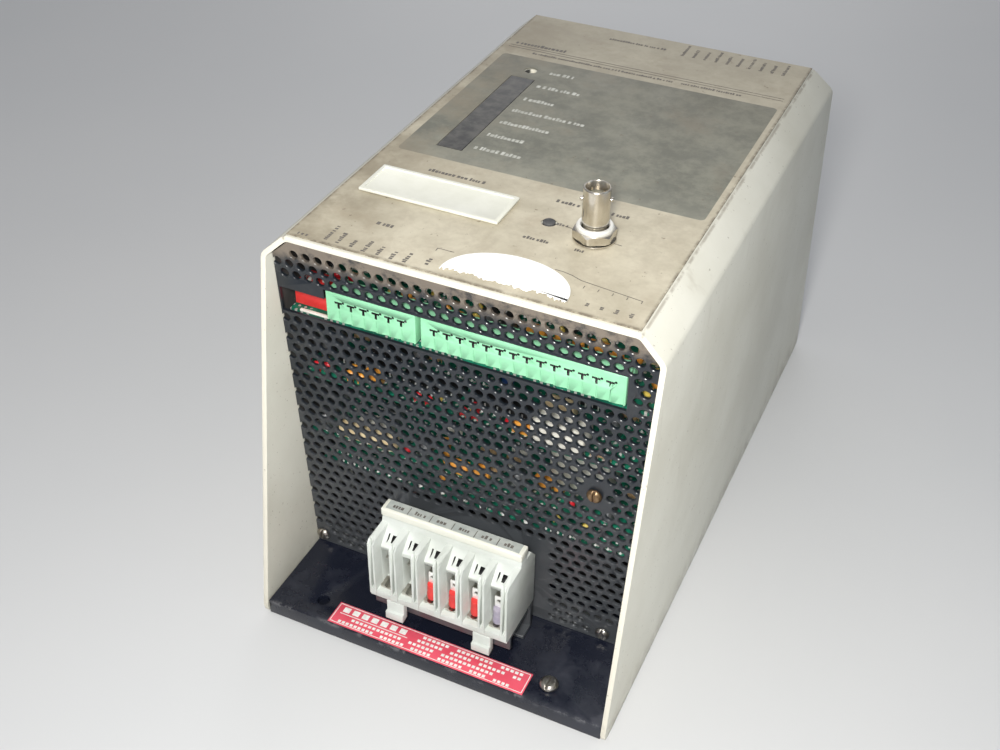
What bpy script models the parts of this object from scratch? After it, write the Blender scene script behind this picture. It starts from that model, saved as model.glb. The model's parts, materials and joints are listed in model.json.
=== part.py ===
"""A servo drive for a control cabinet: a thick base plate, a folded cover with trapezoid sides, two
perforated end panels (plain sheets here), pluggable connectors, a barrier terminal block and the
boards and power parts inside. Metres, +Z up, -Y towards the terminal end, origin at the middle of
the underside. Distances called "back" run from the front edge of the cover's top."""

import math

import bmesh
import bpy
from mathutils import Matrix, Vector

# ---- Overall size -------------------------------------------------------------------------------
COVER_WIDTH = 0.152
COVER_HEIGHT = 0.170
TOP_LENGTH = 0.218
FRONT_SKIRT = 0.029  # how far the sides run out past the top, at the bottom
REAR_SKIRT = 0.036
COVER_SHEET = 0.002
BEND_RUN, BEND_DROP = 0.0094, 0.0087  # the sloping strip along both top edges
SKIRT_CORNER = 0.004
BASE_THICKNESS = 0.0068
BASE_INSET = 0.0015  # base plate ends, in from the cover's bottom corners

# ---- Clearances ---------------------------------------------------------------------------------
GAP = 0.0003  # between pieces that touch
SLIDE_GAP = 0.0005  # around a piece that slides
BOARD_EDGE = 0.003  # board edges, in from the cover's inside

# ---- End panels ---------------------------------------------------------------------------------
PANEL_SHEET = 0.0012
PANEL_TOP_BACK = 0.0016
PANEL_FOOT_BACK = 0.0122
FOOT_SCREWS = (-0.0704, 0.0587)
MIDDLE_SCREW = (0.0527, 0.0893)
SCREW_HOLE_RADIUS = 0.0019
FOOT_SCREW_Z = 0.0122
BRACKET_SHEET, BRACKET_HEIGHT, BRACKET_FOOT = 0.0012, 0.0110, 0.0070

# ---- Boards -------------------------------------------------------------------------------------
BOARD_THICKNESS = 0.0016
CONTROL_TOP = 0.1345
PROCESSOR_TOP = 0.1030
POWER_TOP = 0.0720

# ---- Pluggable connectors -----------------------------------------------------------------------
PLUG_PITCH = 0.00508
PLUG_END = 0.0004  # plastic past the outer modules
PLUG_HEIGHT = 0.0125
PLUG_DEPTH = 0.0065
NOSE_DEPTH = 0.0078
NOSE_HEIGHT = 0.0065
HEADER_DEPTH = 0.0110
HEADER_WALL = 0.0012
PLUG_LIFT = 0.0018  # plug underside above the board
PLUG_FACE_BACK = 0.0032
LEFT_PLUG = (-0.0535, 7)  # left end, modules
RIGHT_PLUG = (-0.0151, 15)
REAR_PLUG = (0.0010, 12)
SLOT_LEFT = -0.0730

# ---- Coded switch -------------------------------------------------------------------------------
SWITCH_LEVERS = 6
SWITCH_PITCH = 0.00254
SWITCH_HEIGHT = 0.009
SWITCH_DEPTH = 0.010
SWITCH_BACK = 0.009
LEVER_TRAVEL = 0.0020
LEVER_SIZE = (0.0011, 0.0014, 0.0016)

# ---- Terminal block -----------------------------------------------------------------------------
POLE_PITCH = 0.009525
POLES = 6
BARRIER = 0.0027
BLOCK_FRONT = -0.0182  # back of the top's front edge, so negative is in front of it
BLOCK_REAR = 0.0078
BLOCK_BOTTOM, BLOCK_TOP = 0.0220, 0.0524
CHANNEL_DEPTH = 0.0058
POCKET = (0.0060, 0.0090, 0.0130)  # width, depth, height
POCKET_BOTTOM = 0.0252
CLAMP_SCREW_RADIUS = 0.0024
STRIP_SIZE = (0.0604, 0.0064, 0.0037)
STRIP_LIFT = 0.0032
FOOT_OFFSET = 0.01905
FOOT_WIDTH = 0.0077
FOOT_DROP = 0.0090
RAIL_SHEET = 0.0016

# ---- Fittings on the top, as (across, back) ------------------------------------------------------
COAX_AT = (0.0321, 0.0451)
COAX_RADIUS, COAX_HEIGHT = 0.00485, 0.0213
COAX_BORE = 0.0041
STATUS_AT = (0.0137, 0.0480)
STATUS_RADIUS = 0.0023
RESET_AT = (-0.0432, 0.1602)
RESET_RADIUS, RESET_TRAVEL, RESET_RECESS = 0.0022, 0.0010, 0.0012
PORT_AT = (-0.0300, 0.0474)
PORT_SIZE = (0.0564, 0.0198)
PORT_OPENING = (0.0490, 0.0130)
PORT_COVER_SHEET = 0.0012
WINDOW_AT = (-0.0433, 0.1170)
WINDOW_SIZE = (0.0106, 0.0700)
WINDOW_RIM = 0.0010
LED_COUNT, LED_PITCH, LED_RADIUS = 6, 0.0115, 0.0015
LABEL_SHEET = 0.0004
LABEL_SIDE_MARGIN = 0.0008

# ---- Base plate fixings -------------------------------------------------------------------------
MOUNT_SPACING, MOUNT_SHIFT, MOUNT_BACK = 0.1016, -0.0026, -0.0175
MOUNT_RADIUS = 0.0027
REAR_SLOT_LENGTH = 0.0090

# ---- Worked out from the above ------------------------------------------------------------------
BASE_LENGTH = TOP_LENGTH + FRONT_SKIRT + REAR_SKIRT
TOP_FRONT = FRONT_SKIRT - BASE_LENGTH / 2
INSIDE = COVER_WIDTH / 2 - COVER_SHEET
CEILING = COVER_HEIGHT - COVER_SHEET
LABEL_TOP = COVER_HEIGHT + GAP + LABEL_SHEET
PANEL_FOOT_Z = BASE_THICKNESS + GAP
PANEL_TOP_Z = CEILING - GAP
PANEL_TILT = math.atan2(PANEL_FOOT_BACK - PANEL_TOP_BACK, PANEL_TOP_Z - PANEL_FOOT_Z)
PLUG_BOTTOM = CONTROL_TOP + PLUG_LIFT
PLUG_TOP = PLUG_BOTTOM + PLUG_HEIGHT
BLOCK_HALF = POLES * POLE_PITCH / 2 + BARRIER / 2
UP, ALONG_X, ALONG_Y = Matrix(), Matrix.Rotation(math.pi / 2, 4, "Y"), Matrix.Rotation(math.pi / 2, 4, "X")

for old in list(bpy.data.objects):
    bpy.data.objects.remove(old, do_unlink=True)
parts = bpy.data.collections.new("servo_drive")
cutters = bpy.data.collections.new("cutters")
bpy.context.scene.collection.children.link(parts)
bpy.context.scene.collection.children.link(cutters)


# ---- Materials ----------------------------------------------------------------------------------
def material(name, colour, roughness, metallic=0.0):
    made = bpy.data.materials.new(name)
    made.use_nodes = True
    shader = made.node_tree.nodes["Principled BSDF"]
    shader.inputs["Base Color"].default_value = (*colour, 1.0)
    shader.inputs["Roughness"].default_value = roughness
    shader.inputs["Metallic"].default_value = metallic
    made.diffuse_color = (*colour, 1.0)
    return made


CREAM_PAINT = material("cream_paint", (0.62, 0.60, 0.52), 0.45)
BLACK_PLATE = material("black_plate", (0.012, 0.012, 0.016), 0.35)
BLACK_SHEET = material("black_sheet", (0.02, 0.02, 0.023), 0.4)
LABEL_FILM = material("label_film", (0.42, 0.36, 0.27), 0.5)
WINDOW_FILM = material("window_film", (0.03, 0.03, 0.03), 0.3)
GREEN_PLASTIC = material("green_plastic", (0.16, 0.55, 0.32), 0.4)
RED_PLASTIC = material("red_plastic", (0.62, 0.05, 0.05), 0.4)
WHITE_PLASTIC = material("white_plastic", (0.70, 0.70, 0.67), 0.4)
PALE_PLASTIC = material("pale_plastic", (0.72, 0.70, 0.60), 0.4)
BLACK_PLASTIC = material("black_plastic", (0.02, 0.02, 0.02), 0.4)
GREEN_BOARD = material("green_board", (0.01, 0.12, 0.08), 0.35)
NICKEL = material("nickel", (0.62, 0.58, 0.52), 0.25, 1.0)
STEEL = material("zinc_steel", (0.55, 0.54, 0.52), 0.35, 1.0)
ALUMINIUM = material("aluminium", (0.55, 0.56, 0.57), 0.4, 1.0)
RED_FILM = material("red_film", (0.62, 0.03, 0.06), 0.4)
PAPER = material("paper", (0.85, 0.84, 0.80), 0.8)
STEEL_CORE = material("core_steel", (0.20, 0.19, 0.18), 0.5, 0.6)


# ---- Modelling helpers ----------------------------------------------------------------------------
def back(distance):
    """Y of a point this far behind the front edge of the cover's top."""
    return TOP_FRONT + distance


def from_rear(distance):
    """Y of a point this far in front of the rear edge of the cover's top."""
    return TOP_FRONT + TOP_LENGTH - distance


def new_object(name, mesh, finish, location=(0, 0, 0)):
    made = bpy.data.objects.new(name, mesh)
    made.location = location
    (parts if finish else cutters).objects.link(made)
    if finish:
        mesh.materials.append(finish)
    else:
        made.hide_render = True
        made.display_type = "WIRE"
    return made


def block(name, finish, x, y, z, bevel=0.0, origin=None):
    """A box between pairs of limits, its edges eased by a Bevel where asked."""
    low, high = Vector((x[0], y[0], z[0])), Vector((x[1], y[1], z[1]))
    centre = (low + high) / 2
    origin = Vector(origin) if origin else centre
    shape = bmesh.new()
    bmesh.ops.create_cube(shape, size=1.0)
    bmesh.ops.scale(shape, vec=high - low, verts=shape.verts)
    bmesh.ops.translate(shape, vec=centre - origin, verts=shape.verts)
    mesh = bpy.data.meshes.new(name)
    shape.to_mesh(mesh)
    shape.free()
    made = new_object(name, mesh, finish, origin)
    if bevel:
        ease(made, bevel)
    return made


def ease(piece, width, segments=1):
    bevel = piece.modifiers.new("eased_edges", "BEVEL")
    bevel.width, bevel.segments, bevel.limit_method = width, segments, "ANGLE"


def cylinder(name, finish, centre, radius, length, turn=UP, sides=24):
    shape = bmesh.new()
    bmesh.ops.create_cone(
        shape, cap_ends=True, segments=sides, radius1=radius, radius2=radius, depth=length, matrix=turn
    )
    mesh = bpy.data.meshes.new(name)
    shape.to_mesh(mesh)
    shape.free()
    made = new_object(name, mesh, finish, centre)
    smooth(made)
    return made


def smooth(piece):
    piece.data.shade_smooth()
    piece.data.set_sharp_from_angle(angle=math.radians(40))


def flat(name, finish, outlines, thickness, place):
    """Flat outlines, the first one solid and the others holes in it, given a thickness centred on
    the outline's plane, with local Z as the thickness direction."""
    curve = bpy.data.curves.new(name, "CURVE")
    curve.dimensions, curve.fill_mode, curve.extrude = "2D", "BOTH", thickness / 2
    for outline in outlines:
        spline = curve.splines.new("POLY")
        spline.points.add(len(outline) - 1)
        for point, (across, up) in zip(spline.points, outline):
            point.co = (across, up, 0, 1)
        spline.use_cyclic_u = True
    guide = bpy.data.objects.new(name + "_guide", curve)
    cutters.objects.link(guide)
    bpy.context.view_layer.update()
    graph = bpy.context.evaluated_depsgraph_get()
    mesh = bpy.data.meshes.new_from_object(guide.evaluated_get(graph))
    mesh.name = name
    mesh.materials.clear()
    shape = bmesh.new()
    shape.from_mesh(mesh)
    bmesh.ops.remove_doubles(shape, verts=shape.verts, dist=1e-6)
    bmesh.ops.recalc_face_normals(shape, faces=shape.faces)
    shape.to_mesh(mesh)
    shape.free()
    bpy.data.objects.remove(guide, do_unlink=True)
    bpy.data.curves.remove(curve)
    made = new_object(name, mesh, finish)
    made.matrix_world = place
    return made


def turned(name, finish, profile, place, steps=20):
    """A profile of (radius, height) pairs, from the top down its outer side, turned about Z."""
    mesh = bpy.data.meshes.new(name)
    shape = bmesh.new()
    points = [shape.verts.new((radius, 0, height)) for radius, height in profile]
    for first, second in zip(points, points[1:]):
        shape.edges.new((first, second))
    shape.to_mesh(mesh)
    shape.free()
    made = new_object(name, mesh, finish)
    made.matrix_world = place
    screw = made.modifiers.new("turn", "SCREW")
    screw.steps = screw.render_steps = steps
    screw.use_merge_vertices, screw.merge_threshold = True, 0.00001
    screw.use_smooth_shade = False
    return made


def boolean(piece, helpers, operation):
    for helper in helpers:
        step = piece.modifiers.new(operation.lower(), "BOOLEAN")
        step.object, step.operation, step.solver = helper, operation, "EXACT"
    return piece


def cut(piece, *helpers):
    return boolean(piece, helpers, "DIFFERENCE")


def join(piece, *helpers):
    return boolean(piece, helpers, "UNION")


def circle(x, y, radius, sides=24):
    turns = [2 * math.pi * step / sides for step in range(sides)]
    return [(x + radius * math.cos(turn), y + radius * math.sin(turn)) for turn in turns]


def box_outline(x, y):
    return [(x[0], y[0]), (x[1], y[0]), (x[1], y[1]), (x[0], y[1])]


def slot_outline(x, y, length, radius, sides=16):
    """A slot along Y with round ends."""
    reach = length / 2 - radius
    half = sides // 2
    points = []
    for end, start in ((1, 0.0), (-1, math.pi)):
        for step in range(half + 1):
            turn = start + math.pi * step / half
            points.append((x + radius * math.cos(turn), y + end * reach + radius * math.sin(turn)))
    return points


def around(centre, size):
    """The two pairs of limits of a rectangle of this size on this centre."""
    return [(middle - length / 2, middle + length / 2) for middle, length in zip(centre, size)]


def side_plane(across):
    """Places an outline drawn as (y, z) in an upright plane at this X."""
    return Matrix(((0, 0, 1, across), (1, 0, 0, 0), (0, 1, 0, 0), (0, 0, 0, 1)))


def on_base(height):
    return Matrix.Translation((0, 0, height))


# ---- Base plate -----------------------------------------------------------------------------------
def make_base():
    half = INSIDE - GAP
    ends = [side * (BASE_LENGTH / 2 - BASE_INSET) for side in (-1, 1)]
    outline = box_outline((-half, half), ends)
    front_holes = [
        circle(MOUNT_SHIFT + side * MOUNT_SPACING / 2, back(MOUNT_BACK), MOUNT_RADIUS) for side in (-1, 1)
    ]
    rear_slots = [
        slot_outline(
            MOUNT_SHIFT + side * MOUNT_SPACING / 2, from_rear(MOUNT_BACK), REAR_SLOT_LENGTH, MOUNT_RADIUS
        )
        for side in (-1, 1)
    ]
    plate = flat(
        "base_plate",
        BLACK_PLATE,
        [outline, *front_holes, *rear_slots],
        BASE_THICKNESS,
        on_base(BASE_THICKNESS / 2),
    )
    head = 0.0038
    ground_at = (MOUNT_SHIFT + MOUNT_SPACING / 2, back(MOUNT_BACK), BASE_THICKNESS + GAP)
    pan_screw("ground_screw", ground_at, UP, head, 0.0024, MOUNT_RADIUS - GAP, BASE_THICKNESS)
    label_x = [MOUNT_SHIFT + side * 0.0434 for side in (-1, 1)]
    flat(
        "caution_label",
        RED_FILM,
        [box_outline(label_x, (back(-0.0268), back(-0.0158)))],
        LABEL_SHEET,
        on_base(BASE_THICKNESS + GAP + LABEL_SHEET / 2),
    )
    return plate


def pan_screw(name, place, turn, head, head_height, shank, length):
    """A slotted pan-head screw whose head sits on the plane through place."""
    crown = 0.7 * head
    profile = [
        (0, head_height),
        (crown, head_height * 0.92),
        (head, head_height * 0.45),
        (head, 0),
        (shank, 0),
        (shank, -length),
        (0, -length),
    ]
    screw = turned(name, STEEL, profile, Matrix.Translation(place) @ turn, steps=16)
    slot = block(
        name + "_slot_cutter",
        None,
        (-0.0004, 0.0004),
        (-1.2 * head, 1.2 * head),
        (head_height * 0.45, head_height * 1.3),
        origin=(0, 0, 0),
    )
    slot.matrix_world = Matrix.Translation(place) @ turn
    return cut(screw, slot)


# ---- Cover ----------------------------------------------------------------------------------------
def make_cover():
    half, height = COVER_WIDTH / 2, COVER_HEIGHT
    section = [
        (-half, 0),
        (-half, height - BEND_DROP),
        (-half + BEND_RUN, height),
        (half - BEND_RUN, height),
        (half, height - BEND_DROP),
        (half, 0),
    ]
    shape = bmesh.new()
    points = [shape.verts.new((x, -BASE_LENGTH / 2, z)) for x, z in section]
    edges = [shape.edges.new(pair) for pair in zip(points, points[1:])]
    grown = bmesh.ops.extrude_edge_only(shape, edges=edges)["geom"]
    grown_points = [item for item in grown if isinstance(item, bmesh.types.BMVert)]
    bmesh.ops.translate(shape, vec=(0, BASE_LENGTH, 0), verts=grown_points)
    bmesh.ops.reverse_faces(shape, faces=shape.faces)
    mesh = bpy.data.meshes.new("cover")
    shape.to_mesh(mesh)
    shape.free()
    cover = new_object("cover", mesh, CREAM_PAINT)
    ease(cover, 0.0015, 2)
    wall = cover.modifiers.new("sheet", "SOLIDIFY")
    wall.thickness, wall.offset, wall.use_even_offset = COVER_SHEET, -1, True
    silhouette = flat(
        "cover_side_cutter", None, [cover_side_outline()], COVER_WIDTH * 1.2, side_plane(0)
    )
    boolean(cover, [silhouette], "INTERSECT")
    top_cut = (CEILING - 0.005, COVER_HEIGHT + 0.005)
    openings = [
        round_cutter("coax_hole_cutter", COAX_AT, COAX_RADIUS + GAP, top_cut),
        round_cutter("status_hole_cutter", STATUS_AT, STATUS_RADIUS + GAP, top_cut),
        round_cutter("reset_hole_cutter", RESET_AT, RESET_RADIUS + SLIDE_GAP, top_cut),
        square_cutter("port_cutter", PORT_AT, PORT_OPENING, top_cut),
        square_cutter("window_cutter", WINDOW_AT, [side - 2 * WINDOW_RIM for side in WINDOW_SIZE], top_cut),
    ]
    return cut(cover, *openings)


def cover_side_outline():
    """The trapezoid side, with its two bottom corners rounded."""
    front_foot, rear_foot = -BASE_LENGTH / 2, BASE_LENGTH / 2
    corners = []
    for foot, top, sense in ((front_foot, back(0), 1), (rear_foot, from_rear(0), -1)):
        along = Vector((top - foot, COVER_HEIGHT)).normalized()
        start = Vector((foot, 0)) + along * SKIRT_CORNER
        end = Vector((foot + sense * SKIRT_CORNER, 0))
        middle = Vector((foot, 0)) + (along + Vector((sense, 0))) * SKIRT_CORNER * 0.28
        corners.append([tuple(start), tuple(middle), tuple(end)])
    return [
        (from_rear(0), COVER_HEIGHT + GAP),
        (back(0), COVER_HEIGHT + GAP),
        *corners[0],
        *reversed(corners[1]),
    ]


def round_cutter(name, at, radius, z):
    centre = (at[0], back(at[1]), (z[0] + z[1]) / 2)
    return cylinder(name, None, centre, radius, z[1] - z[0])


def square_cutter(name, at, size, z):
    x, y = around((at[0], back(at[1])), size)
    return block(name, None, x, y, z)


def make_label():
    """The printed film over the cover's top, with the openings of what comes through it."""
    half = COVER_WIDTH / 2 - BEND_RUN - LABEL_SIDE_MARGIN
    ends = (back(LABEL_SIDE_MARGIN), from_rear(LABEL_SIDE_MARGIN))
    port = box_outline(*around((PORT_AT[0], back(PORT_AT[1])), [side + GAP for side in PORT_OPENING]))
    window = box_outline(*around((WINDOW_AT[0], back(WINDOW_AT[1])), [side + 2 * GAP for side in WINDOW_SIZE]))
    rounds = [
        circle(at[0], back(at[1]), radius)
        for at, radius in (
            (COAX_AT, COAX_RADIUS + 2 * GAP),
            (STATUS_AT, STATUS_RADIUS + 2 * GAP),
            (RESET_AT, RESET_RADIUS + 2 * GAP),
        )
    ]
    flat(
        "label_overlay",
        LABEL_FILM,
        [box_outline((-half, half), ends), port, window, *rounds],
        LABEL_SHEET,
        on_base(COVER_HEIGHT + GAP + LABEL_SHEET / 2),
    )
    window_limits = around((WINDOW_AT[0], back(WINDOW_AT[1])), WINDOW_SIZE)
    block("led_window", WINDOW_FILM, *window_limits, (COVER_HEIGHT + GAP, LABEL_TOP))
    centre, reach, depth = 0.0155, 0.0231, 0.0185
    arc = [math.pi * step / 20 for step in range(21)]
    sticker = [(centre + reach * math.cos(turn), back(0.0035 + depth * math.sin(turn))) for turn in arc]
    flat("paper_sticker", PAPER, [sticker], LABEL_SHEET, on_base(LABEL_TOP + GAP + LABEL_SHEET / 2))


# ---- Fittings on the top --------------------------------------------------------------------------
def make_coax_jack():
    seat = LABEL_TOP + GAP
    washer_top = seat + 0.0006
    nut_foot = washer_top + GAP
    centre = Vector((COAX_AT[0], back(COAX_AT[1]), 0))
    thread = COAX_RADIUS - 0.0001
    barrel_top = COVER_HEIGHT + COAX_HEIGHT
    flange = CEILING - GAP
    body = turned(
        "coax_body",
        NICKEL,
        [
            (0, barrel_top - 0.009),
            (COAX_BORE, barrel_top - 0.009),
            (COAX_BORE, barrel_top),
            (COAX_RADIUS - 0.0002, barrel_top),
            (COAX_RADIUS, barrel_top - 0.0003),
            (thread, nut_foot + 0.006),
            (thread, flange),
            (0.0070, flange),
            (0.0070, flange - 0.002),
            (thread, flange - 0.002),
            (thread, flange - 0.009),
            (0, flange - 0.009),
        ],
        Matrix.Translation(centre),
    )
    lug_turn = Matrix.Rotation(math.radians(20), 4, "Z")
    for side in (-1, 1):
        spot = centre + lug_turn @ Vector((side * (COAX_RADIUS + 0.0001), 0, barrel_top - 0.0048))
        lug = cylinder(f"lug_cutter_{side}", None, spot, 0.0009, 0.0016, lug_turn @ ALONG_X, sides=12)
        join(body, lug)
    insulator = [
        (0, barrel_top - 0.0046),
        (0.0008, barrel_top - 0.0046),
        (0.0008, barrel_top - 0.0058),
        (0.0022, barrel_top - 0.0058),
        (0.0022, barrel_top - 0.009 + GAP),
        (0, barrel_top - 0.009 + GAP),
    ]
    turned("coax_insulator", WHITE_PLASTIC, insulator, Matrix.Translation(centre), steps=16)
    inner = COAX_RADIUS + 0.0001
    ring(
        "coax_washer",
        centre,
        [(inner, seat), (inner, washer_top), (0.0078, washer_top), (0.0078, seat)],
    )
    nut = cylinder("coax_nut", NICKEL, centre + Vector((0, 0, nut_foot + 0.0016)), 0.0081, 0.0032, sides=6)
    collar = cylinder("coax_collar_cutter", None, centre + Vector((0, 0, nut_foot + 0.0038)), 0.0066, 0.0020)
    bore = cylinder("nut_bore_cutter", None, centre + Vector((0, 0, nut_foot + 0.002)), inner, 0.010)
    join(nut, collar)
    cut(nut, bore)


def ring(name, centre, profile):
    """A turned ring: a closed profile that stays off the axis."""
    made = turned(name, NICKEL, [*profile, profile[0]], Matrix.Translation(centre))
    weld = made.modifiers.new("weld", "WELD")
    weld.merge_threshold = 0.00001
    return made


def make_port():
    seat = LABEL_TOP + GAP
    x, y = around((PORT_AT[0], back(PORT_AT[1])), PORT_SIZE)
    hub = (PORT_AT[0], back(PORT_AT[1]), seat)
    lid = block("port_cover", PALE_PLASTIC, x, y, (seat, seat + PORT_COVER_SHEET), 0.0003, origin=hub)
    inner = [side - 2 * SLIDE_GAP for side in PORT_OPENING]
    lip_x, lip_y = around((PORT_AT[0], back(PORT_AT[1])), inner)
    join(lid, block("port_lip_cutter", None, lip_x, lip_y, (CEILING - 0.0015, seat + 0.0005)))
    body = around((PORT_AT[0], back(PORT_AT[1])), (0.0390, 0.0084))
    seat_size = around((PORT_AT[0], back(PORT_AT[1])), (0.0530, 0.0125))
    socket = block("port_connector", BLACK_PLASTIC, *seat_size, (CONTROL_TOP + GAP, CEILING - 0.010))
    join(socket, block("port_shell_cutter", None, *body, (CEILING - 0.011, CEILING - 0.0035)))


def make_indicators():
    centre_x, centre_y = WINDOW_AT[0], back(WINDOW_AT[1])
    board_top = CEILING - 0.0080
    span = (back(WINDOW_AT[1] - WINDOW_SIZE[1] / 2 - 0.004), back(RESET_AT[1] + 0.008))
    board = block(
        "indicator_board",
        GREEN_BOARD,
        (centre_x - 0.007, centre_x + 0.007),
        span,
        (board_top - BOARD_THICKNESS, board_top),
    )
    for number, y in enumerate((span[0] + 0.004, span[1] - 0.004)):
        leg = block(
            f"indicator_leg_cutter_{number}",
            None,
            (centre_x - 0.003, centre_x + 0.003),
            (y - 0.003, y + 0.003),
            (CONTROL_TOP + GAP, board_top - 0.0005),
        )
        join(board, leg)
    bar = block(
        "led_bar",
        BLACK_PLASTIC,
        (centre_x - 0.003, centre_x + 0.003),
        around((0, centre_y), (1, LED_COUNT * LED_PITCH - 0.006))[1],
        (board_top + GAP, board_top + 0.0035),
    )
    for number in range(LED_COUNT):
        y = centre_y + (number - (LED_COUNT - 1) / 2) * LED_PITCH
        join(bar, cylinder(f"led_cutter_{number}", None, (centre_x, y, board_top + 0.005), LED_RADIUS, 0.004, sides=12))
    x, y = RESET_AT[0], back(RESET_AT[1])
    switch_top = board_top + 0.0036
    block(
        "reset_switch",
        BLACK_PLASTIC,
        (x - 0.003, x + 0.003),
        (y - 0.003, y + 0.003),
        (board_top + GAP, switch_top),
    )
    button_top = COVER_HEIGHT - RESET_RECESS
    foot = switch_top + GAP + RESET_TRAVEL
    turned(
        "reset_button",
        PALE_PLASTIC,
        [
            (0, button_top),
            (RESET_RADIUS - 0.0003, button_top),
            (RESET_RADIUS, button_top - 0.0003),
            (RESET_RADIUS, foot),
            (0, foot),
        ],
        Matrix.Translation((x, y, 0)),
        steps=16,
    )
    turned(
        "status_light_pipe",
        WINDOW_FILM,
        [
            (0, LABEL_TOP + 0.0006),
            (STATUS_RADIUS * 0.6, LABEL_TOP + 0.0004),
            (STATUS_RADIUS, LABEL_TOP - 0.0002),
            (STATUS_RADIUS, CONTROL_TOP + GAP),
            (0, CONTROL_TOP + GAP),
        ],
        Matrix.Translation((STATUS_AT[0], back(STATUS_AT[1]), 0)),
        steps=16,
    )


# ---- End panels -----------------------------------------------------------------------------------
def panel_place(rear=False):
    """The plane of an end panel's outer face, with its foot edge on the base plate."""
    y = from_rear(PANEL_FOOT_BACK) if rear else back(PANEL_FOOT_BACK)
    tilt = -PANEL_TILT if rear else PANEL_TILT
    return Matrix.Translation((0, y, PANEL_FOOT_Z)) @ Matrix.Rotation(math.pi / 2 + tilt, 4, "X")


def up_panel(z):
    """Distance up the sloping panel to this height."""
    return (z - PANEL_FOOT_Z) / math.cos(PANEL_TILT)


def panel_outline():
    half, top = INSIDE - GAP, up_panel(PANEL_TOP_Z)
    lean = BEND_RUN * 0.9
    drop = BEND_DROP * 0.9
    return [(-half, 0), (half, 0), (half, top - drop), (half - lean, top), (-half + lean, top), (-half, top - drop)]


def make_front_panel():
    slot_right = plug_limits(RIGHT_PLUG)[1] + SLIDE_GAP
    step_x = plug_limits(LEFT_PLUG)[0] - SLIDE_GAP
    foot, lid = up_panel(CONTROL_TOP - 0.0004), up_panel(PLUG_TOP + SLIDE_GAP)
    step_z = up_panel(CONTROL_TOP + 0.0105)
    slot = [
        (SLOT_LEFT, foot),
        (slot_right, foot),
        (slot_right, lid),
        (step_x, lid),
        (step_x, step_z),
        (SLOT_LEFT, step_z),
    ]
    boss = box_outline(*(boss_limits()[0], [up_panel(z) for z in boss_limits()[1]]))
    holes = [circle(x, up_panel(FOOT_SCREW_Z), SCREW_HOLE_RADIUS) for x in FOOT_SCREWS]
    holes.append(circle(MIDDLE_SCREW[0], up_panel(MIDDLE_SCREW[1]), SCREW_HOLE_RADIUS))
    face = panel_place() @ Matrix.Translation((0, 0, -PANEL_SHEET / 2))
    flat("front_panel", BLACK_SHEET, [panel_outline(), slot, boss, *holes], PANEL_SHEET, face)
    spots = [(x, FOOT_SCREW_Z) for x in FOOT_SCREWS] + [MIDDLE_SCREW]
    for name, (x, z) in zip(("panel_screw_left", "panel_screw_right", "panel_screw_middle"), spots):
        place = panel_place() @ Matrix.Translation((x, up_panel(z), GAP))
        pan_screw(name, place.translation, place.to_3x3().to_4x4(), 0.0030, 0.0020, 0.0015, 0.005)


def boss_limits():
    """The rear boss of the terminal block and the panel opening that it passes through."""
    half = POLES * POLE_PITCH / 2 - 0.003
    return (-half - GAP, half + GAP), (0.0300 - GAP, 0.0420 + GAP)


def make_rear_panel():
    low, high = plug_limits(REAR_PLUG)
    limits = ((low - SLIDE_GAP, high + SLIDE_GAP), (up_panel(CONTROL_TOP - 0.0004), up_panel(PLUG_TOP + SLIDE_GAP)))
    face = panel_place(rear=True) @ Matrix.Translation((0, 0, PANEL_SHEET / 2))
    flat("rear_panel", BLACK_SHEET, [panel_outline(), box_outline(*limits)], PANEL_SHEET, face)


def make_foot_bracket(name, rear=False):
    """The folded strip that joins the foot of an end panel to the base plate."""
    half = INSIDE - 3 * GAP
    holes = [] if rear else [circle(x, up_panel(FOOT_SCREW_Z), SCREW_HOLE_RADIUS) for x in FOOT_SCREWS]
    shift = (1 if rear else -1) * (PANEL_SHEET + GAP + BRACKET_SHEET / 2)
    outline = box_outline((-half, half), (0.0002, BRACKET_HEIGHT))
    place = panel_place(rear) @ Matrix.Translation((0, 0, shift))
    bracket = flat(name, ALUMINIUM, [outline, *holes], BRACKET_SHEET, place)
    near, far = PANEL_FOOT_BACK + PANEL_SHEET + 2 * GAP, PANEL_FOOT_BACK + PANEL_SHEET + GAP + BRACKET_FOOT
    span = sorted(from_rear(limit) if rear else back(limit) for limit in (near, far))
    foot = block(name + "_foot_cutter", None, (-half, half), span, (PANEL_FOOT_Z, PANEL_FOOT_Z + BRACKET_SHEET))
    return join(bracket, foot)


# ---- Boards, connectors and the coded switch ------------------------------------------------------
def make_boards():
    half = INSIDE - BOARD_EDGE
    rows = (
        ("control_board", CONTROL_TOP, 0.0056, 0.0056),
        ("processor_board", PROCESSOR_TOP, 0.0090, 0.0400),
        ("power_board", POWER_TOP, 0.0110, 0.0140),
    )
    for name, top, front, rear in rows:
        block(name, GREEN_BOARD, (-half, half), (back(front), from_rear(rear)), (top - BOARD_THICKNESS, top))
    for side, name in ((-1, "card_rail_left"), (1, "card_rail_right")):
        wall = sorted((side * (INSIDE - 0.0006), side * (INSIDE - 0.0018)))
        span = (back(0.022), from_rear(0.042))
        rail = block(name, ALUMINIUM, wall, span, (BASE_THICKNESS + GAP, CONTROL_TOP))
        for _, top, _, _ in rows:
            ledge = sorted((side * (INSIDE - 0.0010), side * (half - 0.003)))
            height = top - BOARD_THICKNESS - GAP
            join(rail, block(f"{name}_ledge_cutter_{top}", None, ledge, span, (height - 0.0012, height)))


def plug_limits(plug):
    start, modules = plug
    return start, start + modules * PLUG_PITCH + 2 * PLUG_END


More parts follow.
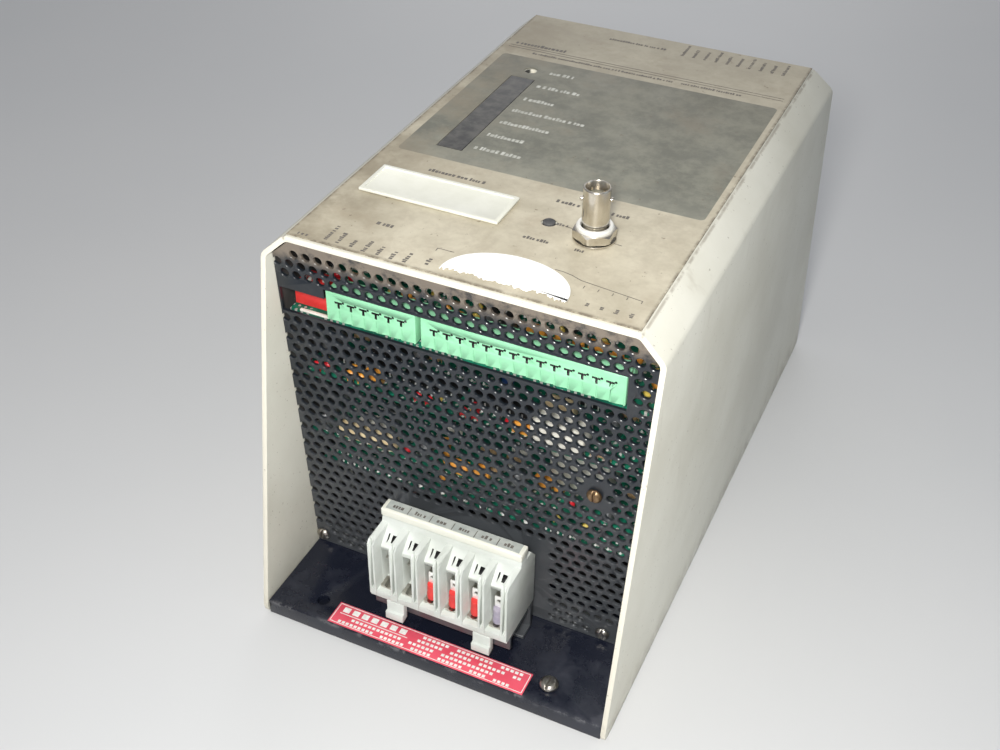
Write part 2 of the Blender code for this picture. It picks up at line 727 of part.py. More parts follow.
def connector(side, plug, rear=False):
    """A board header and the screw-clamp plug in it. The plug pulls straight out through the panel."""
    low, high = plug_limits(plug)
    depth = (lambda *limits: sorted(from_rear(limit) for limit in limits)) if rear else (
        lambda *limits: [back(limit) for limit in limits]
    )
    face, shoulder = PLUG_FACE_BACK, PLUG_FACE_BACK + PLUG_DEPTH
    nose_low = PLUG_BOTTOM + (PLUG_HEIGHT - NOSE_HEIGHT) / 2
    nose_z = (nose_low, nose_low + NOSE_HEIGHT)
    origin = ((low + high) / 2, depth(face, face)[0], PLUG_BOTTOM)
    body = block(
        f"plug_{side}", GREEN_PLASTIC, (low, high), depth(face, shoulder), (PLUG_BOTTOM, PLUG_TOP), 0.0003, origin
    )
    inset = HEADER_WALL + GAP
    nose = block(
        f"nose_cutter_{side}", None, (low + inset, high - inset), depth(shoulder - 0.001, shoulder + NOSE_DEPTH), nose_z
    )
    join(body, nose)
    mouth = shoulder + GAP
    header = block(
        f"header_{side}",
        GREEN_PLASTIC,
        (low, high),
        depth(mouth, mouth + HEADER_DEPTH),
        (CONTROL_TOP + GAP, nose_z[1] + GAP + HEADER_WALL),
    )
    pocket = block(
        f"header_pocket_cutter_{side}",
        None,
        (low + HEADER_WALL, high - HEADER_WALL),
        depth(mouth - 0.002, shoulder + NOSE_DEPTH + GAP),
        (nose_z[0] - GAP, nose_z[1] + GAP),
    )
    cut(header, pocket)


def make_coded_switch():
    """The red slide switch row by the left plug: six levers in grooves in its top."""
    length = SWITCH_LEVERS * SWITCH_PITCH + 0.001
    right = plug_limits(LEFT_PLUG)[0] - 3 * GAP
    limits_y = (back(SWITCH_BACK), back(SWITCH_BACK + SWITCH_DEPTH))
    top = CONTROL_TOP + GAP + SWITCH_HEIGHT
    body = block("switch_body", RED_PLASTIC, (right - length, right), limits_y, (CONTROL_TOP + GAP, top), 0.0002)
    middle = sum(limits_y) / 2
    width, depth, height = LEVER_SIZE
    groove_depth = 0.0010
    for number in range(SWITCH_LEVERS):
        x = right - length / 2 + (number - (SWITCH_LEVERS - 1) / 2) * SWITCH_PITCH
        groove = block(
            f"groove_cutter_{number}",
            None,
            (x - width / 2 - GAP, x + width / 2 + GAP),
            (middle - (LEVER_TRAVEL + depth) / 2 - GAP, middle + (LEVER_TRAVEL + depth) / 2 + GAP),
            (top - groove_depth, top + 0.002),
        )
        cut(body, groove)
        start = middle - LEVER_TRAVEL / 2 if number % 3 else middle + LEVER_TRAVEL / 2
        floor = top - groove_depth + GAP
        block(
            f"switch_lever_{number + 1}",
            WHITE_PLASTIC,
            (x - width / 2, x + width / 2),
            (start - depth / 2, start + depth / 2),
            (floor, floor + height),
        )


# ---- Terminal block -------------------------------------------------------------------------------
def make_terminal_block():
    front, rear = back(BLOCK_FRONT), back(BLOCK_REAR)
    ledge = front + CHANNEL_DEPTH
    seat = BLOCK_TOP + STRIP_LIFT - GAP
    strip_front = front + 0.0120
    profile = [
        (rear, BLOCK_BOTTOM),
        (rear, BLOCK_TOP - 0.0050),
        (rear - 0.0040, BLOCK_TOP),
        (strip_front + STRIP_SIZE[1] - 0.001, BLOCK_TOP),
        (strip_front + STRIP_SIZE[1] - 0.001, seat),
        (strip_front + 0.001, seat),
        (strip_front, BLOCK_TOP - 0.001),
        (ledge, BLOCK_TOP - 0.0070),
        (ledge, BLOCK_BOTTOM + 0.0030),
        (front + 0.0006, BLOCK_BOTTOM + 0.0030),
        (front + 0.0006, BLOCK_BOTTOM),
    ]
    body = flat("terminal_block", WHITE_PLASTIC, [profile], 2 * BLOCK_HALF, side_plane(0))
    barrier = [
        (rear - 0.0010, BLOCK_BOTTOM + 0.0013),
        (rear - 0.0010, BLOCK_TOP - 0.0055),
        (rear - 0.0050, BLOCK_TOP),
        (front + 0.0016, BLOCK_TOP),
        (front, BLOCK_TOP - 0.0016),
        (front, BLOCK_BOTTOM + 0.0013),
    ]
    for number in range(POLES + 1):
        x = (number - POLES / 2) * POLE_PITCH
        place = side_plane(x)
        join(body, flat(f"barrier_cutter_{number}", None, [barrier], BARRIER, place))
    (boss_low, boss_high), (boss_foot, boss_top) = boss_limits()
    boss = block(
        "boss_cutter",
        None,
        (boss_low + 2 * GAP, boss_high - 2 * GAP),
        (rear - 0.002, rear + 0.0080),
        (boss_foot + 2 * GAP, boss_top - 2 * GAP),
    )
    join(body, boss)
    width, depth, height = POCKET
    screw_z = POCKET_BOTTOM + height * 0.45
    pocket_back = ledge + depth - 0.001
    for number in range(POLES):
        x = (number - (POLES - 1) / 2) * POLE_PITCH
        pocket = block(
            f"pocket_cutter_{number}",
            None,
            (x - width / 2, x + width / 2),
            (ledge - 0.001, pocket_back),
            (POCKET_BOTTOM, POCKET_BOTTOM + height),
        )
        shank = cylinder(
            f"shank_cutter_{number}", None, (x, pocket_back, screw_z), 0.0015 + GAP, 0.008, ALONG_Y, sides=16
        )
        cut(body, pocket, shank)
        head_at = (x, ledge + 0.0050, screw_z)
        pan_screw(f"clamp_screw_{number + 1}", head_at, ALONG_Y, CLAMP_SCREW_RADIUS, 0.0020, 0.0015, 0.0055)
    strip_x = [side * STRIP_SIZE[0] / 2 for side in (-1, 1)]
    strip_z = (BLOCK_TOP + STRIP_LIFT, BLOCK_TOP + STRIP_LIFT + STRIP_SIZE[2])
    block("marker_strip", PALE_PLASTIC, strip_x, (strip_front, strip_front + STRIP_SIZE[1]), strip_z, 0.0004)
    for side, name in ((-1, "clip_foot_left"), (1, "clip_foot_right")):
        make_clip_foot(name, side * FOOT_OFFSET, front)
    make_terminal_rail(front, rear)


def make_clip_foot(name, x, front):
    """A foot that hooks over the rail's front lip and holds the block down."""
    top = BLOCK_BOTTOM - GAP
    foot_x = (x - FOOT_WIDTH / 2, x + FOOT_WIDTH / 2)
    foot = block(name, WHITE_PLASTIC, foot_x, (front + 0.0004, front + 0.0034), (top - FOOT_DROP, top), 0.0003)
    step = block(
        f"{name}_step_cutter", None, foot_x, (front - 0.0008, front + 0.0020), (top - FOOT_DROP, top - 0.0052)
    )
    join(foot, step)


def make_terminal_rail(front, rear):
    """A black folded rail on the base plate that carries the block: top, short front lip, rear leg."""
    top = BLOCK_BOTTOM - GAP
    lip = front + 0.0038
    heel = rear - 0.0010
    foot = BASE_THICKNESS + GAP
    profile = [
        (heel, foot),
        (heel, top),
        (lip, top),
        (lip, top - 0.0070),
        (lip + RAIL_SHEET, top - 0.0070),
        (lip + RAIL_SHEET, top - RAIL_SHEET),
        (heel - RAIL_SHEET, top - RAIL_SHEET),
        (heel - RAIL_SHEET, foot + RAIL_SHEET),
        (heel - 0.008, foot + RAIL_SHEET),
        (heel - 0.008, foot),
    ]
    flat("terminal_rail", BLACK_SHEET, [profile], 2 * BLOCK_HALF, side_plane(0))


# ---- Power parts ----------------------------------------------------------------------------------
def floor_span(start, end):
    """Limits along Y as shares of the floor between the two foot brackets."""
    bracket_end = PANEL_FOOT_BACK + PANEL_SHEET + BRACKET_FOOT + 2 * GAP
    length = TOP_LENGTH - 2 * bracket_end
    return back(bracket_end + start * length), back(bracket_end + end * length)


def make_power_parts():
    floor = BASE_THICKNESS + GAP
    sink_x, sink_y = (-0.068, -0.030), floor_span(0.01, 0.40)
    sink = block("heat_sink", ALUMINIUM, sink_x, sink_y, (floor, floor + 0.005))
    fins, fin = 7, 0.0015
    pitch = (sink_x[1] - sink_x[0] - fin) / (fins - 1)
    for number in range(fins):
        x = sink_x[0] + number * pitch
        join(sink, block(f"fin_cutter_{number}", None, (x, x + fin), sink_y, (floor + 0.003, floor + 0.050)))
    for number, x in enumerate((0.004, 0.046)):
        centre = (x, floor_span(0.62, 1)[0], floor + 0.029)
        cylinder(f"bus_capacitor_{number + 1}", BLACK_PLASTIC, centre, 0.0175, 0.058, sides=28)
    block("power_module", BLACK_PLASTIC, (-0.010, 0.060), floor_span(0.05, 0.38), (floor, floor + 0.024), 0.001)
    core = (floor, floor + 0.045)
    transformer = block("transformer", STEEL_CORE, (-0.066, -0.022), floor_span(0.52, 0.84), core, 0.001)
    coil_z = (floor + 0.010, floor + 0.036)
    join(transformer, block("coil_cutter", None, (-0.060, -0.028), floor_span(0.475, 0.885), coil_z))
    relay_z = (POWER_TOP + GAP, POWER_TOP + 0.020)
    block("relay", PALE_PLASTIC, (0.028, 0.052), floor_span(0.01, 0.11), relay_z, 0.0008)


make_base()
make_cover()
make_label()
make_coax_jack()
make_port()
make_indicators()
make_front_panel()
make_rear_panel()
make_foot_bracket("foot_bracket_front")
make_foot_bracket("foot_bracket_rear", rear=True)
make_boards()
connector("left", LEFT_PLUG)
connector("right", RIGHT_PLUG)
connector("rear", REAR_PLUG, rear=True)
make_coded_switch()
make_terminal_block()
make_power_parts()
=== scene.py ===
# %% [markdown]
# # Dressing a servo drive
# A servo drive is the box in a control cabinet that feeds a motor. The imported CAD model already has
# every part in its place, so this lesson only adds what the eye wants: real perforated sheet,
# moulded connector faces, printed legends, coloured components behind the holes, and finishes that
# look used.

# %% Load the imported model
import json
import math
import random
from contextlib import contextmanager

import bpy
from mathutils import Matrix, Vector


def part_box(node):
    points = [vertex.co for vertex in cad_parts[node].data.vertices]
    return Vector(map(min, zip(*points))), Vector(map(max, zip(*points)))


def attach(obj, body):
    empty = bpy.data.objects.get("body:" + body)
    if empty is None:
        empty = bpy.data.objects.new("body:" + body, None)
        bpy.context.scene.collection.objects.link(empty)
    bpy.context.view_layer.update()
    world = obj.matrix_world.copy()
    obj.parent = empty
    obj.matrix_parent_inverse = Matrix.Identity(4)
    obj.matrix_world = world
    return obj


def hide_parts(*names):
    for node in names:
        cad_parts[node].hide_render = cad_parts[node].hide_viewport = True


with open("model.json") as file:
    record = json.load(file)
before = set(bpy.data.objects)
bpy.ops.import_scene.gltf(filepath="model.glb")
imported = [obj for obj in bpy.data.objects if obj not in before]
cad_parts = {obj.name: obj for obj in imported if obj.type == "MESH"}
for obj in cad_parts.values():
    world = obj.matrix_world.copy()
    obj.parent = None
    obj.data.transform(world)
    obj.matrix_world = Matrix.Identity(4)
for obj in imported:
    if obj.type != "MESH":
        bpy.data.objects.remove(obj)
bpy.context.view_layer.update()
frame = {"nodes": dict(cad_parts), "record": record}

# %% [markdown]
# ## Places that everything shares
# Most places come from the CAD boxes. A few driving values are repeated here, because several
# pieces are laid out from them: the front edge of the top, from which printed legends are measured,
# and the lean of the panels.

# %% Driving values, in metres
MM = 0.001
FRONT_EDGE = -0.1125
FILM_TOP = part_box("label_overlay")[1].z
PANEL_FOOT_BACK, PANEL_TOP_BACK = 12.2 * MM, 1.6 * MM
PANEL_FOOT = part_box("front_panel")[0].z
PANEL_RISE = 167.7 * MM - PANEL_FOOT
PANEL_LEAN = math.atan2(PANEL_FOOT_BACK - PANEL_TOP_BACK, PANEL_RISE)
REAR_EDGE = FRONT_EDGE + 218 * MM
print("panel lean, degrees:", round(math.degrees(PANEL_LEAN), 2))


def back(distance):
    """Y of a point this far behind the front edge of the top."""
    return FRONT_EDGE + distance


# %% [markdown]
# ## A way to write shaders
# Node trees are easier to read as sums than as diagrams. `Wire` wraps a node's output and gives it
# Python's own operators, so `1 - mask * 0.4` adds the Math nodes by itself. `Finish` is one
# material: it adds nodes and knows the few patterns that this object needs.


# %% Wires and finishes
class Wire:
    """The output of a node, with Python's operators."""

    def __init__(self, finish, socket):
        self.finish, self.socket = finish, socket

    def maths(self, operation, first, second=0.0):
        return self.finish.node("ShaderNodeMath", {"operation": operation}, {0: first, 1: second})[0]

    def __add__(self, other):
        return self.maths("ADD", self, other)

    def __sub__(self, other):
        return self.maths("SUBTRACT", self, other)

    def __rsub__(self, other):
        return self.maths("SUBTRACT", other, self)

    def __mul__(self, other):
        return self.maths("MULTIPLY", self, other)

    def __truediv__(self, other):
        return self.maths("DIVIDE", self, other)

    def __abs__(self):
        return self.maths("ABSOLUTE", self)

    def at_least(self, other):
        return self.maths("MAXIMUM", self, other)

    def root(self):
        return self.maths("SQRT", self)

    def to_grid(self, pitch):
        """Distance to the nearest line of a grid of this pitch."""
        return self.maths("PINGPONG", self, pitch / 2)

    __radd__ = __add__
    __rmul__ = __mul__


class Finish:
    """A material on the Principled shader, and the nodes that feed it."""

    def __init__(self, name, **constants):
        self.material = bpy.data.materials.new(name)
        self.material.use_nodes = True
        self.tree = self.material.node_tree
        self.shader = self.tree.nodes["Principled BSDF"]
        self.set(**constants)
        self.place = self.node("ShaderNodeTexCoord")[3]
        self.x, self.y, self.z = self.node("ShaderNodeSeparateXYZ", values={0: self.place})

    def node(self, kind, settings=None, values=None):
        """Adds a node, its settings first, and gives its outputs."""
        made = self.tree.nodes.new(kind)
        for name, value in (settings or {}).items():
            setattr(made, name, value)
        for key, value in (values or {}).items():
            self.feed(made.inputs[key], value)
        return [Wire(self, output) for output in made.outputs]

    def feed(self, socket, value):
        if isinstance(value, Wire):
            self.tree.links.new(value.socket, socket)
        elif isinstance(value, tuple) and len(value) == 3 and len(socket.default_value) == 4:
            socket.default_value = (*value, 1.0)
        else:
            socket.default_value = value

    def set(self, **values):
        """Feeds the shader's sockets: base_color=..., roughness=..., coat_weight=..."""
        for name, value in values.items():
            self.feed(self.shader.inputs[name.replace("_", " ").title()], value)
        return self

    def noise(self, scale, detail=3.0, roughness=0.55, stretch=(1, 1, 1), distortion=0.0):
        place = self.place
        if stretch != (1, 1, 1):
            place = self.node("ShaderNodeMapping", values={"Vector": place, "Scale": stretch})[0]
        values = {
            "Vector": place,
            "Scale": scale,
            "Detail": detail,
            "Roughness": roughness,
            "Distortion": distortion,
        }
        return self.node("ShaderNodeTexNoise", values=values)[0]

    def step(self, value, low, high):
        """0 below low and 1 above high, smooth between. With low above high it falls."""
        if low > high:
            return 1 - self.step(value, high, low)
        settings = {"interpolation_type": "SMOOTHSTEP"}
        values = {"Value": value, "From Min": low, "From Max": high}
        return self.node("ShaderNodeMapRange", settings, values)[0]

    def mix(self, factor, first, second):
        settings = {"data_type": "RGBA"}
        return self.node("ShaderNodeMix", settings, {0: factor, 6: first, 7: second})[2]

    def bump(self, height, distance, strength=0.5):
        values = {"Height": height, "Distance": distance, "Strength": strength}
        return self.set(normal=self.node("ShaderNodeBump", values=values)[0])


print("wire operators and finish tools are ready")


# %% [markdown]
# ## Painted and printed finishes
# The cover has a fine cream paint that has been handled for years: it is cloudy, scuffed where
# hands and tools reach it, and grimy near its edges. Noise at three sizes does that: wide clouds,
# streaks, and a fine grain for the bump. The film on the top is a print on plastic with a
# grey-green panel, drawn as a rounded rectangle from the distance to its edge.


# %% Cream paint
TOP_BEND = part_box("label_overlay")[1].x + 0.8 * MM
# How far the panels lean per metre of height, and where the painted shade inside the cover starts and ends
# along Y
LEAN = 0.066
INNER_SHADE_FROM, INNER_SHADE_TO = (-0.0990, -0.0980), (0.0920, 0.0910)
FOOT_GRIME = 16 * MM


def cream_paint():
    paint = Finish("cream_paint")
    clouds = paint.noise(14, 5, 0.6)
    colour = paint.mix(paint.step(clouds, 0.3, 0.7), (0.60, 0.585, 0.50), (0.70, 0.69, 0.61))
    streaks = paint.step(paint.noise(60, 4, 0.7, stretch=(1, 1, 0.12)), 0.60, 0.74)
    colour = paint.mix(streaks * 0.28, colour, (0.36, 0.32, 0.25))
    normal = paint.node("ShaderNodeNewGeometry")[1]
    normal_x, normal_y, normal_z = paint.node("ShaderNodeSeparateXYZ", values={0: normal})
    # Faces looking along Y, the cut edges of the sheet, are painted lighter: partly bare-edge wear, partly
    # a painted highlight.
    worn_and_lit_edge = paint.step(abs(normal_y), 0.8, 0.95)
    colour = paint.mix(worn_and_lit_edge * 0.8, colour, (0.80, 0.76, 0.65))
    # Painted shade: the inner faces of the cover between the two panels are painted near-black for the
    # shade inside the box.
    behind_front = paint.step(paint.y + paint.z * LEAN, *INNER_SHADE_FROM)
    before_rear = paint.step(paint.y - paint.z * LEAN, *INNER_SHADE_TO)
    inward = paint.step(normal_x * paint.x, -0.01, -0.03).at_least(paint.step(normal_z, -0.3, -0.6))
    inside = inward * paint.step(paint.z, 0.0065, 0.0075)
    colour = paint.mix(inside * behind_front * before_rear, colour, (0.045, 0.044, 0.042))
    grime = paint.step(paint.z, FOOT_GRIME, 0.0) * paint.step(paint.noise(120, 4, 0.65), 0.35, 0.65)
    colour = paint.mix(grime * 0.3, colour, (0.20, 0.16, 0.11))
    bend = paint.step(abs(abs(paint.x) - TOP_BEND), 0.0008, 0.0001) * paint.step(paint.z, 0.1680, 0.1690)
    bend = bend * paint.step(paint.noise(160, 4, 0.7), 0.34, 0.58)
    colour = paint.mix(bend * 0.5, colour, (0.14, 0.10, 0.065))
    specks = paint.step(paint.noise(700, 2, 0.5), 0.70, 0.74)
    colour = paint.mix(specks * 0.5, colour, (0.22, 0.18, 0.13))
    paint.set(base_color=colour, roughness=0.42 + paint.noise(30, 4) * 0.25)
    return paint.bump(paint.noise(1500, 2) + streaks * 0.3, 0.00008, 0.35)


print("cover's top bend, mm from the middle:", round(TOP_BEND / MM, 1))


# %% Printed film
ZONE_MIDDLE = (0.0008, back(122.4 * MM))
ZONE_HALF = (62.2 * MM, 49.4 * MM)
ZONE_CORNER = 2 * MM


def printed_film():
    film = Finish("printed_film")
    clouds = film.noise(38, 6, 0.62, distortion=0.6)
    beige = film.mix(film.step(clouds, 0.30, 0.72), (0.44, 0.395, 0.295), (0.60, 0.55, 0.43))
    fine = film.step(film.noise(190, 5, 0.7), 0.40, 0.70)
    beige = film.mix(fine * 0.35, beige, (0.36, 0.31, 0.23))
    blotches = film.step(film.noise(85, 7, 0.70), 0.34, 0.66)
    green = film.mix(blotches, (0.148, 0.150, 0.122), (0.248, 0.246, 0.196))
    brown = film.step(film.noise(42, 6, 0.72), 0.50, 0.72)
    green = film.mix(brown * 0.50, green, (0.180, 0.150, 0.108))
    beige = film.mix(brown * 0.40, beige, (0.34, 0.275, 0.190))
    across = (abs(film.x - ZONE_MIDDLE[0]) - (ZONE_HALF[0] - ZONE_CORNER)).at_least(0.0)
    along = (abs(film.y - ZONE_MIDDLE[1]) - (ZONE_HALF[1] - ZONE_CORNER)).at_least(0.0)
    outside = (across * across + along * along).root()
    zone = film.step(outside, ZONE_CORNER + 0.0001, ZONE_CORNER - 0.0001)
    # Painted light: the grey-green zone is painted lighter towards the front, where the light falls
    # strongest.
    green = film.mix(film.step(film.y, -0.02, -0.05) * 0.35, green, (0.40, 0.39, 0.32))
    colour = film.mix(zone, beige, green)
    # Painted shade: the film is painted darker towards the rear, for the light falling off away from the
    # front.
    rear = film.step(film.y, -0.06, 0.11)
    colour = film.mix(rear * 0.36, colour, (0.16, 0.140, 0.10))
    left_dirt = film.step(film.x, -0.030, -0.062) * film.step(film.noise(55, 4, 0.65), 0.30, 0.65)
    colour = film.mix(left_dirt * 0.70, colour, (0.25, 0.210, 0.145))
    front_rim = film.step(film.y, back(2.6 * MM), back(0.9 * MM))
    rims = film.step(abs(film.x), 0.0644, 0.0658).at_least(front_rim)
    rims = rims * film.step(film.noise(260, 4, 0.7), 0.30, 0.62)
    colour = film.mix(rims * 0.75, colour, (0.10, 0.075, 0.05))
    spots = film.step(film.noise(420, 3, 0.6), 0.68, 0.74)
    colour = film.mix(spots * 0.6, colour, (0.15, 0.11, 0.075))
    film.set(base_color=colour, roughness=0.40 + clouds * 0.25)
    return film.bump(film.noise(1100, 3) + fine * 0.4, 0.00006, 0.4)


print("printed zone, mm:", [round(2 * half / MM, 1) for half in ZONE_HALF])


# %% Black plate, black sheet and the plain finishes
def black_plate():
    plate = Finish("black_plate")
    dust = plate.step(plate.noise(45, 6, 0.7), 0.48, 0.78)
    colour = plate.mix(dust * 0.6, (0.008, 0.010, 0.019), (0.050, 0.054, 0.072))
    scratches = plate.step(plate.noise(90, 5, 0.75, stretch=(0.25, 2.2, 1), distortion=1.5), 0.70, 0.74)
    colour = plate.mix(scratches * 0.55, colour, (0.24, 0.24, 0.25))
    lip = plate.step(plate.y, -0.1384, -0.1397) * plate.step(plate.z, 0.0048, 0.0066)
    worn = lip * plate.step(plate.noise(180, 4, 0.7), 0.50, 0.66)
    colour = plate.mix(worn * 0.5, colour, (0.26, 0.26, 0.27))
    plate.set(base_color=colour, roughness=0.26 + dust * 0.4, metallic=worn * 0.5)
    return plate.bump(plate.noise(900, 3), 0.00005, 0.3)


def black_sheet():
    sheet = Finish("black_sheet")
    dust = sheet.step(sheet.noise(55, 5, 0.7), 0.50, 0.80)
    colour = sheet.mix(dust * 0.5, (0.014, 0.018, 0.024), (0.070, 0.072, 0.074))
    top = sheet.step(sheet.z, 0.1560, 0.1625) * sheet.step(sheet.noise(150, 5, 0.7), 0.30, 0.56)
    colour = sheet.mix(top * 0.85, colour, (0.23, 0.19, 0.15))
    low = sheet.step(sheet.z, 0.110, 0.030)
    colour = sheet.mix(low * 0.55, colour, (0.085, 0.090, 0.096))
    sheet.set(base_color=colour, roughness=0.28 + dust * 0.35)
    return sheet.bump(sheet.noise(1300, 2), 0.00004, 0.3)


def plain(name, light, dark, roughness, metallic=0.0, size=90, coat_weight=0.0, grain=900, depth=0.00004):
    """A plain moulded, plated or printed finish: two close colours clouded together, with a fine grain."""
    finish = Finish(name, metallic=metallic, coat_weight=coat_weight)
    clouds = finish.noise(size, 4, 0.6)
    colour = finish.mix(finish.step(clouds, 0.32, 0.70), light, dark)
    finish.set(base_color=colour, roughness=roughness + clouds * 0.18)
    return finish.bump(finish.noise(grain, 2), depth, 0.35)


print("own patterns:", [pattern.__name__ for pattern in (cream_paint, printed_film, black_plate)])


# %% [markdown]
# ## Boards
# A circuit board is green lacquer over copper, with bright solder pads on a grid a tenth of an inch
# apart. The pads are circles round each grid point, kept only where a coarse noise says so, which
# leaves bare stretches and crowded ones as on a real layout.

# %% Board lacquer, traces and pads
PAD_PITCH = 2.54 * MM


def board_lacquer():
    board = Finish("board_lacquer")
    wide = board.noise(75, 3, 0.5)
    colour = board.mix(board.step(wide, 0.4, 0.6), (0.004, 0.085, 0.052), (0.008, 0.145, 0.088))
    lines = board.step(board.x.to_grid(PAD_PITCH * 2), 0.55 * MM, 0.75 * MM) * board.step(wide, 0.50, 0.56)
    colour = board.mix(lines * 0.7, colour, (0.015, 0.22, 0.13))
    across, along = board.x.to_grid(PAD_PITCH), board.y.to_grid(PAD_PITCH)
    ring = across * across + along * along
    pads = board.step(ring, (0.62 * MM) ** 2, (0.5 * MM) ** 2) * board.step(board.noise(130, 2), 0.47, 0.52)
    colour = board.mix(pads, colour, (0.62, 0.60, 0.57))
    board.set(base_color=colour, metallic=pads * 0.45, roughness=0.42 - pads * 0.12)
    return board.bump(pads + lines * 0.2, 0.0001, 0.6)


print("pad pitch, mm:", PAD_PITCH / MM)


# %% [markdown]
# ## The set of finishes
# Every slot of the record gets one finish, and the small pieces inside get a few more. They are
# made once here and then shared.

# %% Make the finishes
PLAIN_FINISHES = {
    # name: light and dark colour, roughness, metallic, cloud size, coat weight, grain, bump depth
    "green_plastic": ((0.31, 0.70, 0.43), (0.26, 0.62, 0.37), 0.30),
    "red_plastic": ((0.72, 0.045, 0.04), (0.58, 0.03, 0.03), 0.30),
    "white_plastic": ((0.62, 0.65, 0.62), (0.53, 0.56, 0.52), 0.34, 0.0, 60),
    "pale_plastic": ((0.78, 0.78, 0.70), (0.70, 0.70, 0.61), 0.38, 0.0, 50),
    "black_plastic": ((0.014, 0.014, 0.015), (0.026, 0.025, 0.025), 0.34),
    "window_film": ((0.012, 0.012, 0.012), (0.085, 0.080, 0.072), 0.30, 0.0, 170),
    "nickel": ((0.72, 0.68, 0.61), (0.58, 0.54, 0.47), 0.14, 1.0, 140),
    "zinc_steel": ((0.66, 0.64, 0.60), (0.42, 0.38, 0.33), 0.24, 1.0, 300),
    "aluminium": ((0.50, 0.51, 0.52), (0.36, 0.37, 0.38), 0.32, 1.0, 120),
    "red_film": ((0.76, 0.10, 0.15), (0.68, 0.07, 0.11), 0.30, 0.0, 70),
    "paper": ((0.94, 0.94, 0.93), (0.88, 0.88, 0.86), 0.75, 0.0, 90, 0.0, 2200, 0.00008),
    "core_steel": ((0.13, 0.12, 0.11), (0.22, 0.20, 0.18), 0.42, 0.6, 400),
    "amber": ((0.85, 0.40, 0.07), (0.70, 0.27, 0.04), 0.22, 0.0, 260, 0.4),
    "crimson": ((0.62, 0.02, 0.03), (0.40, 0.012, 0.02), 0.22, 0.0, 260, 0.4),
    "ceramic": ((0.80, 0.78, 0.71), (0.66, 0.64, 0.57), 0.5, 0.0, 260),
    "blue_sleeve": ((0.02, 0.06, 0.22), (0.03, 0.09, 0.30), 0.3, 0.0, 200),
    "tin": ((0.96, 0.95, 0.93), (0.82, 0.81, 0.79), 0.22, 0.3, 500),
    "grey_ink": ((0.10, 0.09, 0.08), (0.17, 0.155, 0.135), 0.5, 0.0, 700),
    "smoked": ((0.055, 0.055, 0.058), (0.10, 0.10, 0.10), 0.55, 0.0, 500),
    "yellow": ((0.80, 0.62, 0.14), (0.66, 0.48, 0.09), 0.28, 0.0, 260),
    "tan": ((0.52, 0.36, 0.20), (0.40, 0.26, 0.13), 0.35, 0.0, 600),
    "wax": ((0.86, 0.72, 0.46), (0.72, 0.56, 0.33), 0.35, 0.0, 300),
    "bronze": ((0.30, 0.20, 0.11), (0.16, 0.10, 0.06), 0.32, 0.9, 400),
    "violet_grey": ((0.30, 0.27, 0.36), (0.42, 0.38, 0.44), 0.4, 0.0, 400),
    "faded_ink": ((0.62, 0.62, 0.57), (0.40, 0.40, 0.35), 0.5, 0.0, 500),
    "bright_plate": ((0.92, 0.91, 0.87), (0.80, 0.79, 0.75), 0.3, 0.35, 300),
    "card_grey": ((0.36, 0.39, 0.37), (0.46, 0.48, 0.45), 0.5, 0.0, 300),
    "white_ink": ((0.86, 0.86, 0.83), (0.70, 0.70, 0.66), 0.5, 0.0, 700),
}
FINISH = {
    "cream_paint": cream_paint(),
    "label_film": printed_film(),
    "black_plate": black_plate(),
    "black_sheet": black_sheet(),
    "green_board": board_lacquer(),
}
for name, look in PLAIN_FINISHES.items():
    FINISH[name] = plain(name, *look)
RECORD_SLOTS = {part["material_slot"] for part in frame["record"]["subparts"]}


def coat(piece, finish):
    """Puts a finish in every slot of a piece."""
    material = FINISH[finish].material
    finish in RECORD_SLOTS
    if not piece.material_slots:
        piece.data.materials.append(material)
    for slot in piece.material_slots:
        slot.material = material
    return piece


for part in frame["record"]["subparts"]:
    coat(frame["nodes"][part["node"]], part["material_slot"])
print("finishes:", len(FINISH))

# %% [markdown]
# ## Hand tools
# Each new piece starts as a primitive and is shaped with the same operators as by hand. These
# helpers only choose what is selected, apply a modifier, and leave the object at the origin with
# its place in its mesh.


# %% Select, modify, settle
def alone(piece):
    bpy.ops.object.select_all(action="DESELECT")
    piece.select_set(True)
    bpy.context.view_layer.objects.active = piece
    return piece


@contextmanager
def editing(piece, chosen=None):
    """Edit mode on a piece, with all of it selected, or only the faces that pass the test."""
    alone(piece)
    bpy.ops.object.mode_set(mode="EDIT")
    bpy.ops.mesh.select_all(action="DESELECT" if chosen else "SELECT")
    if chosen:
        bpy.ops.object.mode_set(mode="OBJECT")
        for face in piece.data.polygons:
            face.select = chosen(face)
        bpy.ops.object.mode_set(mode="EDIT")
    yield piece
    bpy.ops.object.mode_set(mode="OBJECT")


def settled(piece, name=None):
    """Puts the piece's place, turn and size into its mesh."""
    alone(piece)
    bpy.ops.object.transform_apply(location=True, rotation=True, scale=True)
    if name:
        piece.name = piece.data.name = name
    return piece


def modify(piece, kind, **settings):
    alone(piece)
    step = piece.modifiers.new(kind.lower(), kind)
    for name, value in settings.items():
        setattr(step, name, value)
    bpy.ops.object.modifier_apply(modifier=step.name)
    return piece


def eased(piece, width, segments=2):
    limit = {"limit_method": "ANGLE", "angle_limit": math.radians(35)}
    return modify(piece, "BEVEL", width=width, segments=segments, **limit)


def smooth(piece, angle=35):
    alone(piece)
    bpy.ops.object.shade_smooth_by_angle(angle=math.radians(angle))
    return piece


def box(name, x, y, z, ease=0.0):
    """A block between pairs of limits in metres, with eased edges."""
    low, high = Vector((x[0], y[0], z[0])), Vector((x[1], y[1], z[1]))
    bpy.ops.object.select_all(action="DESELECT")
    bpy.ops.mesh.primitive_cube_add(size=1, location=(low + high) / 2, scale=high - low)
    piece = settled(bpy.context.object, name)
    return eased(piece, ease) if ease else piece


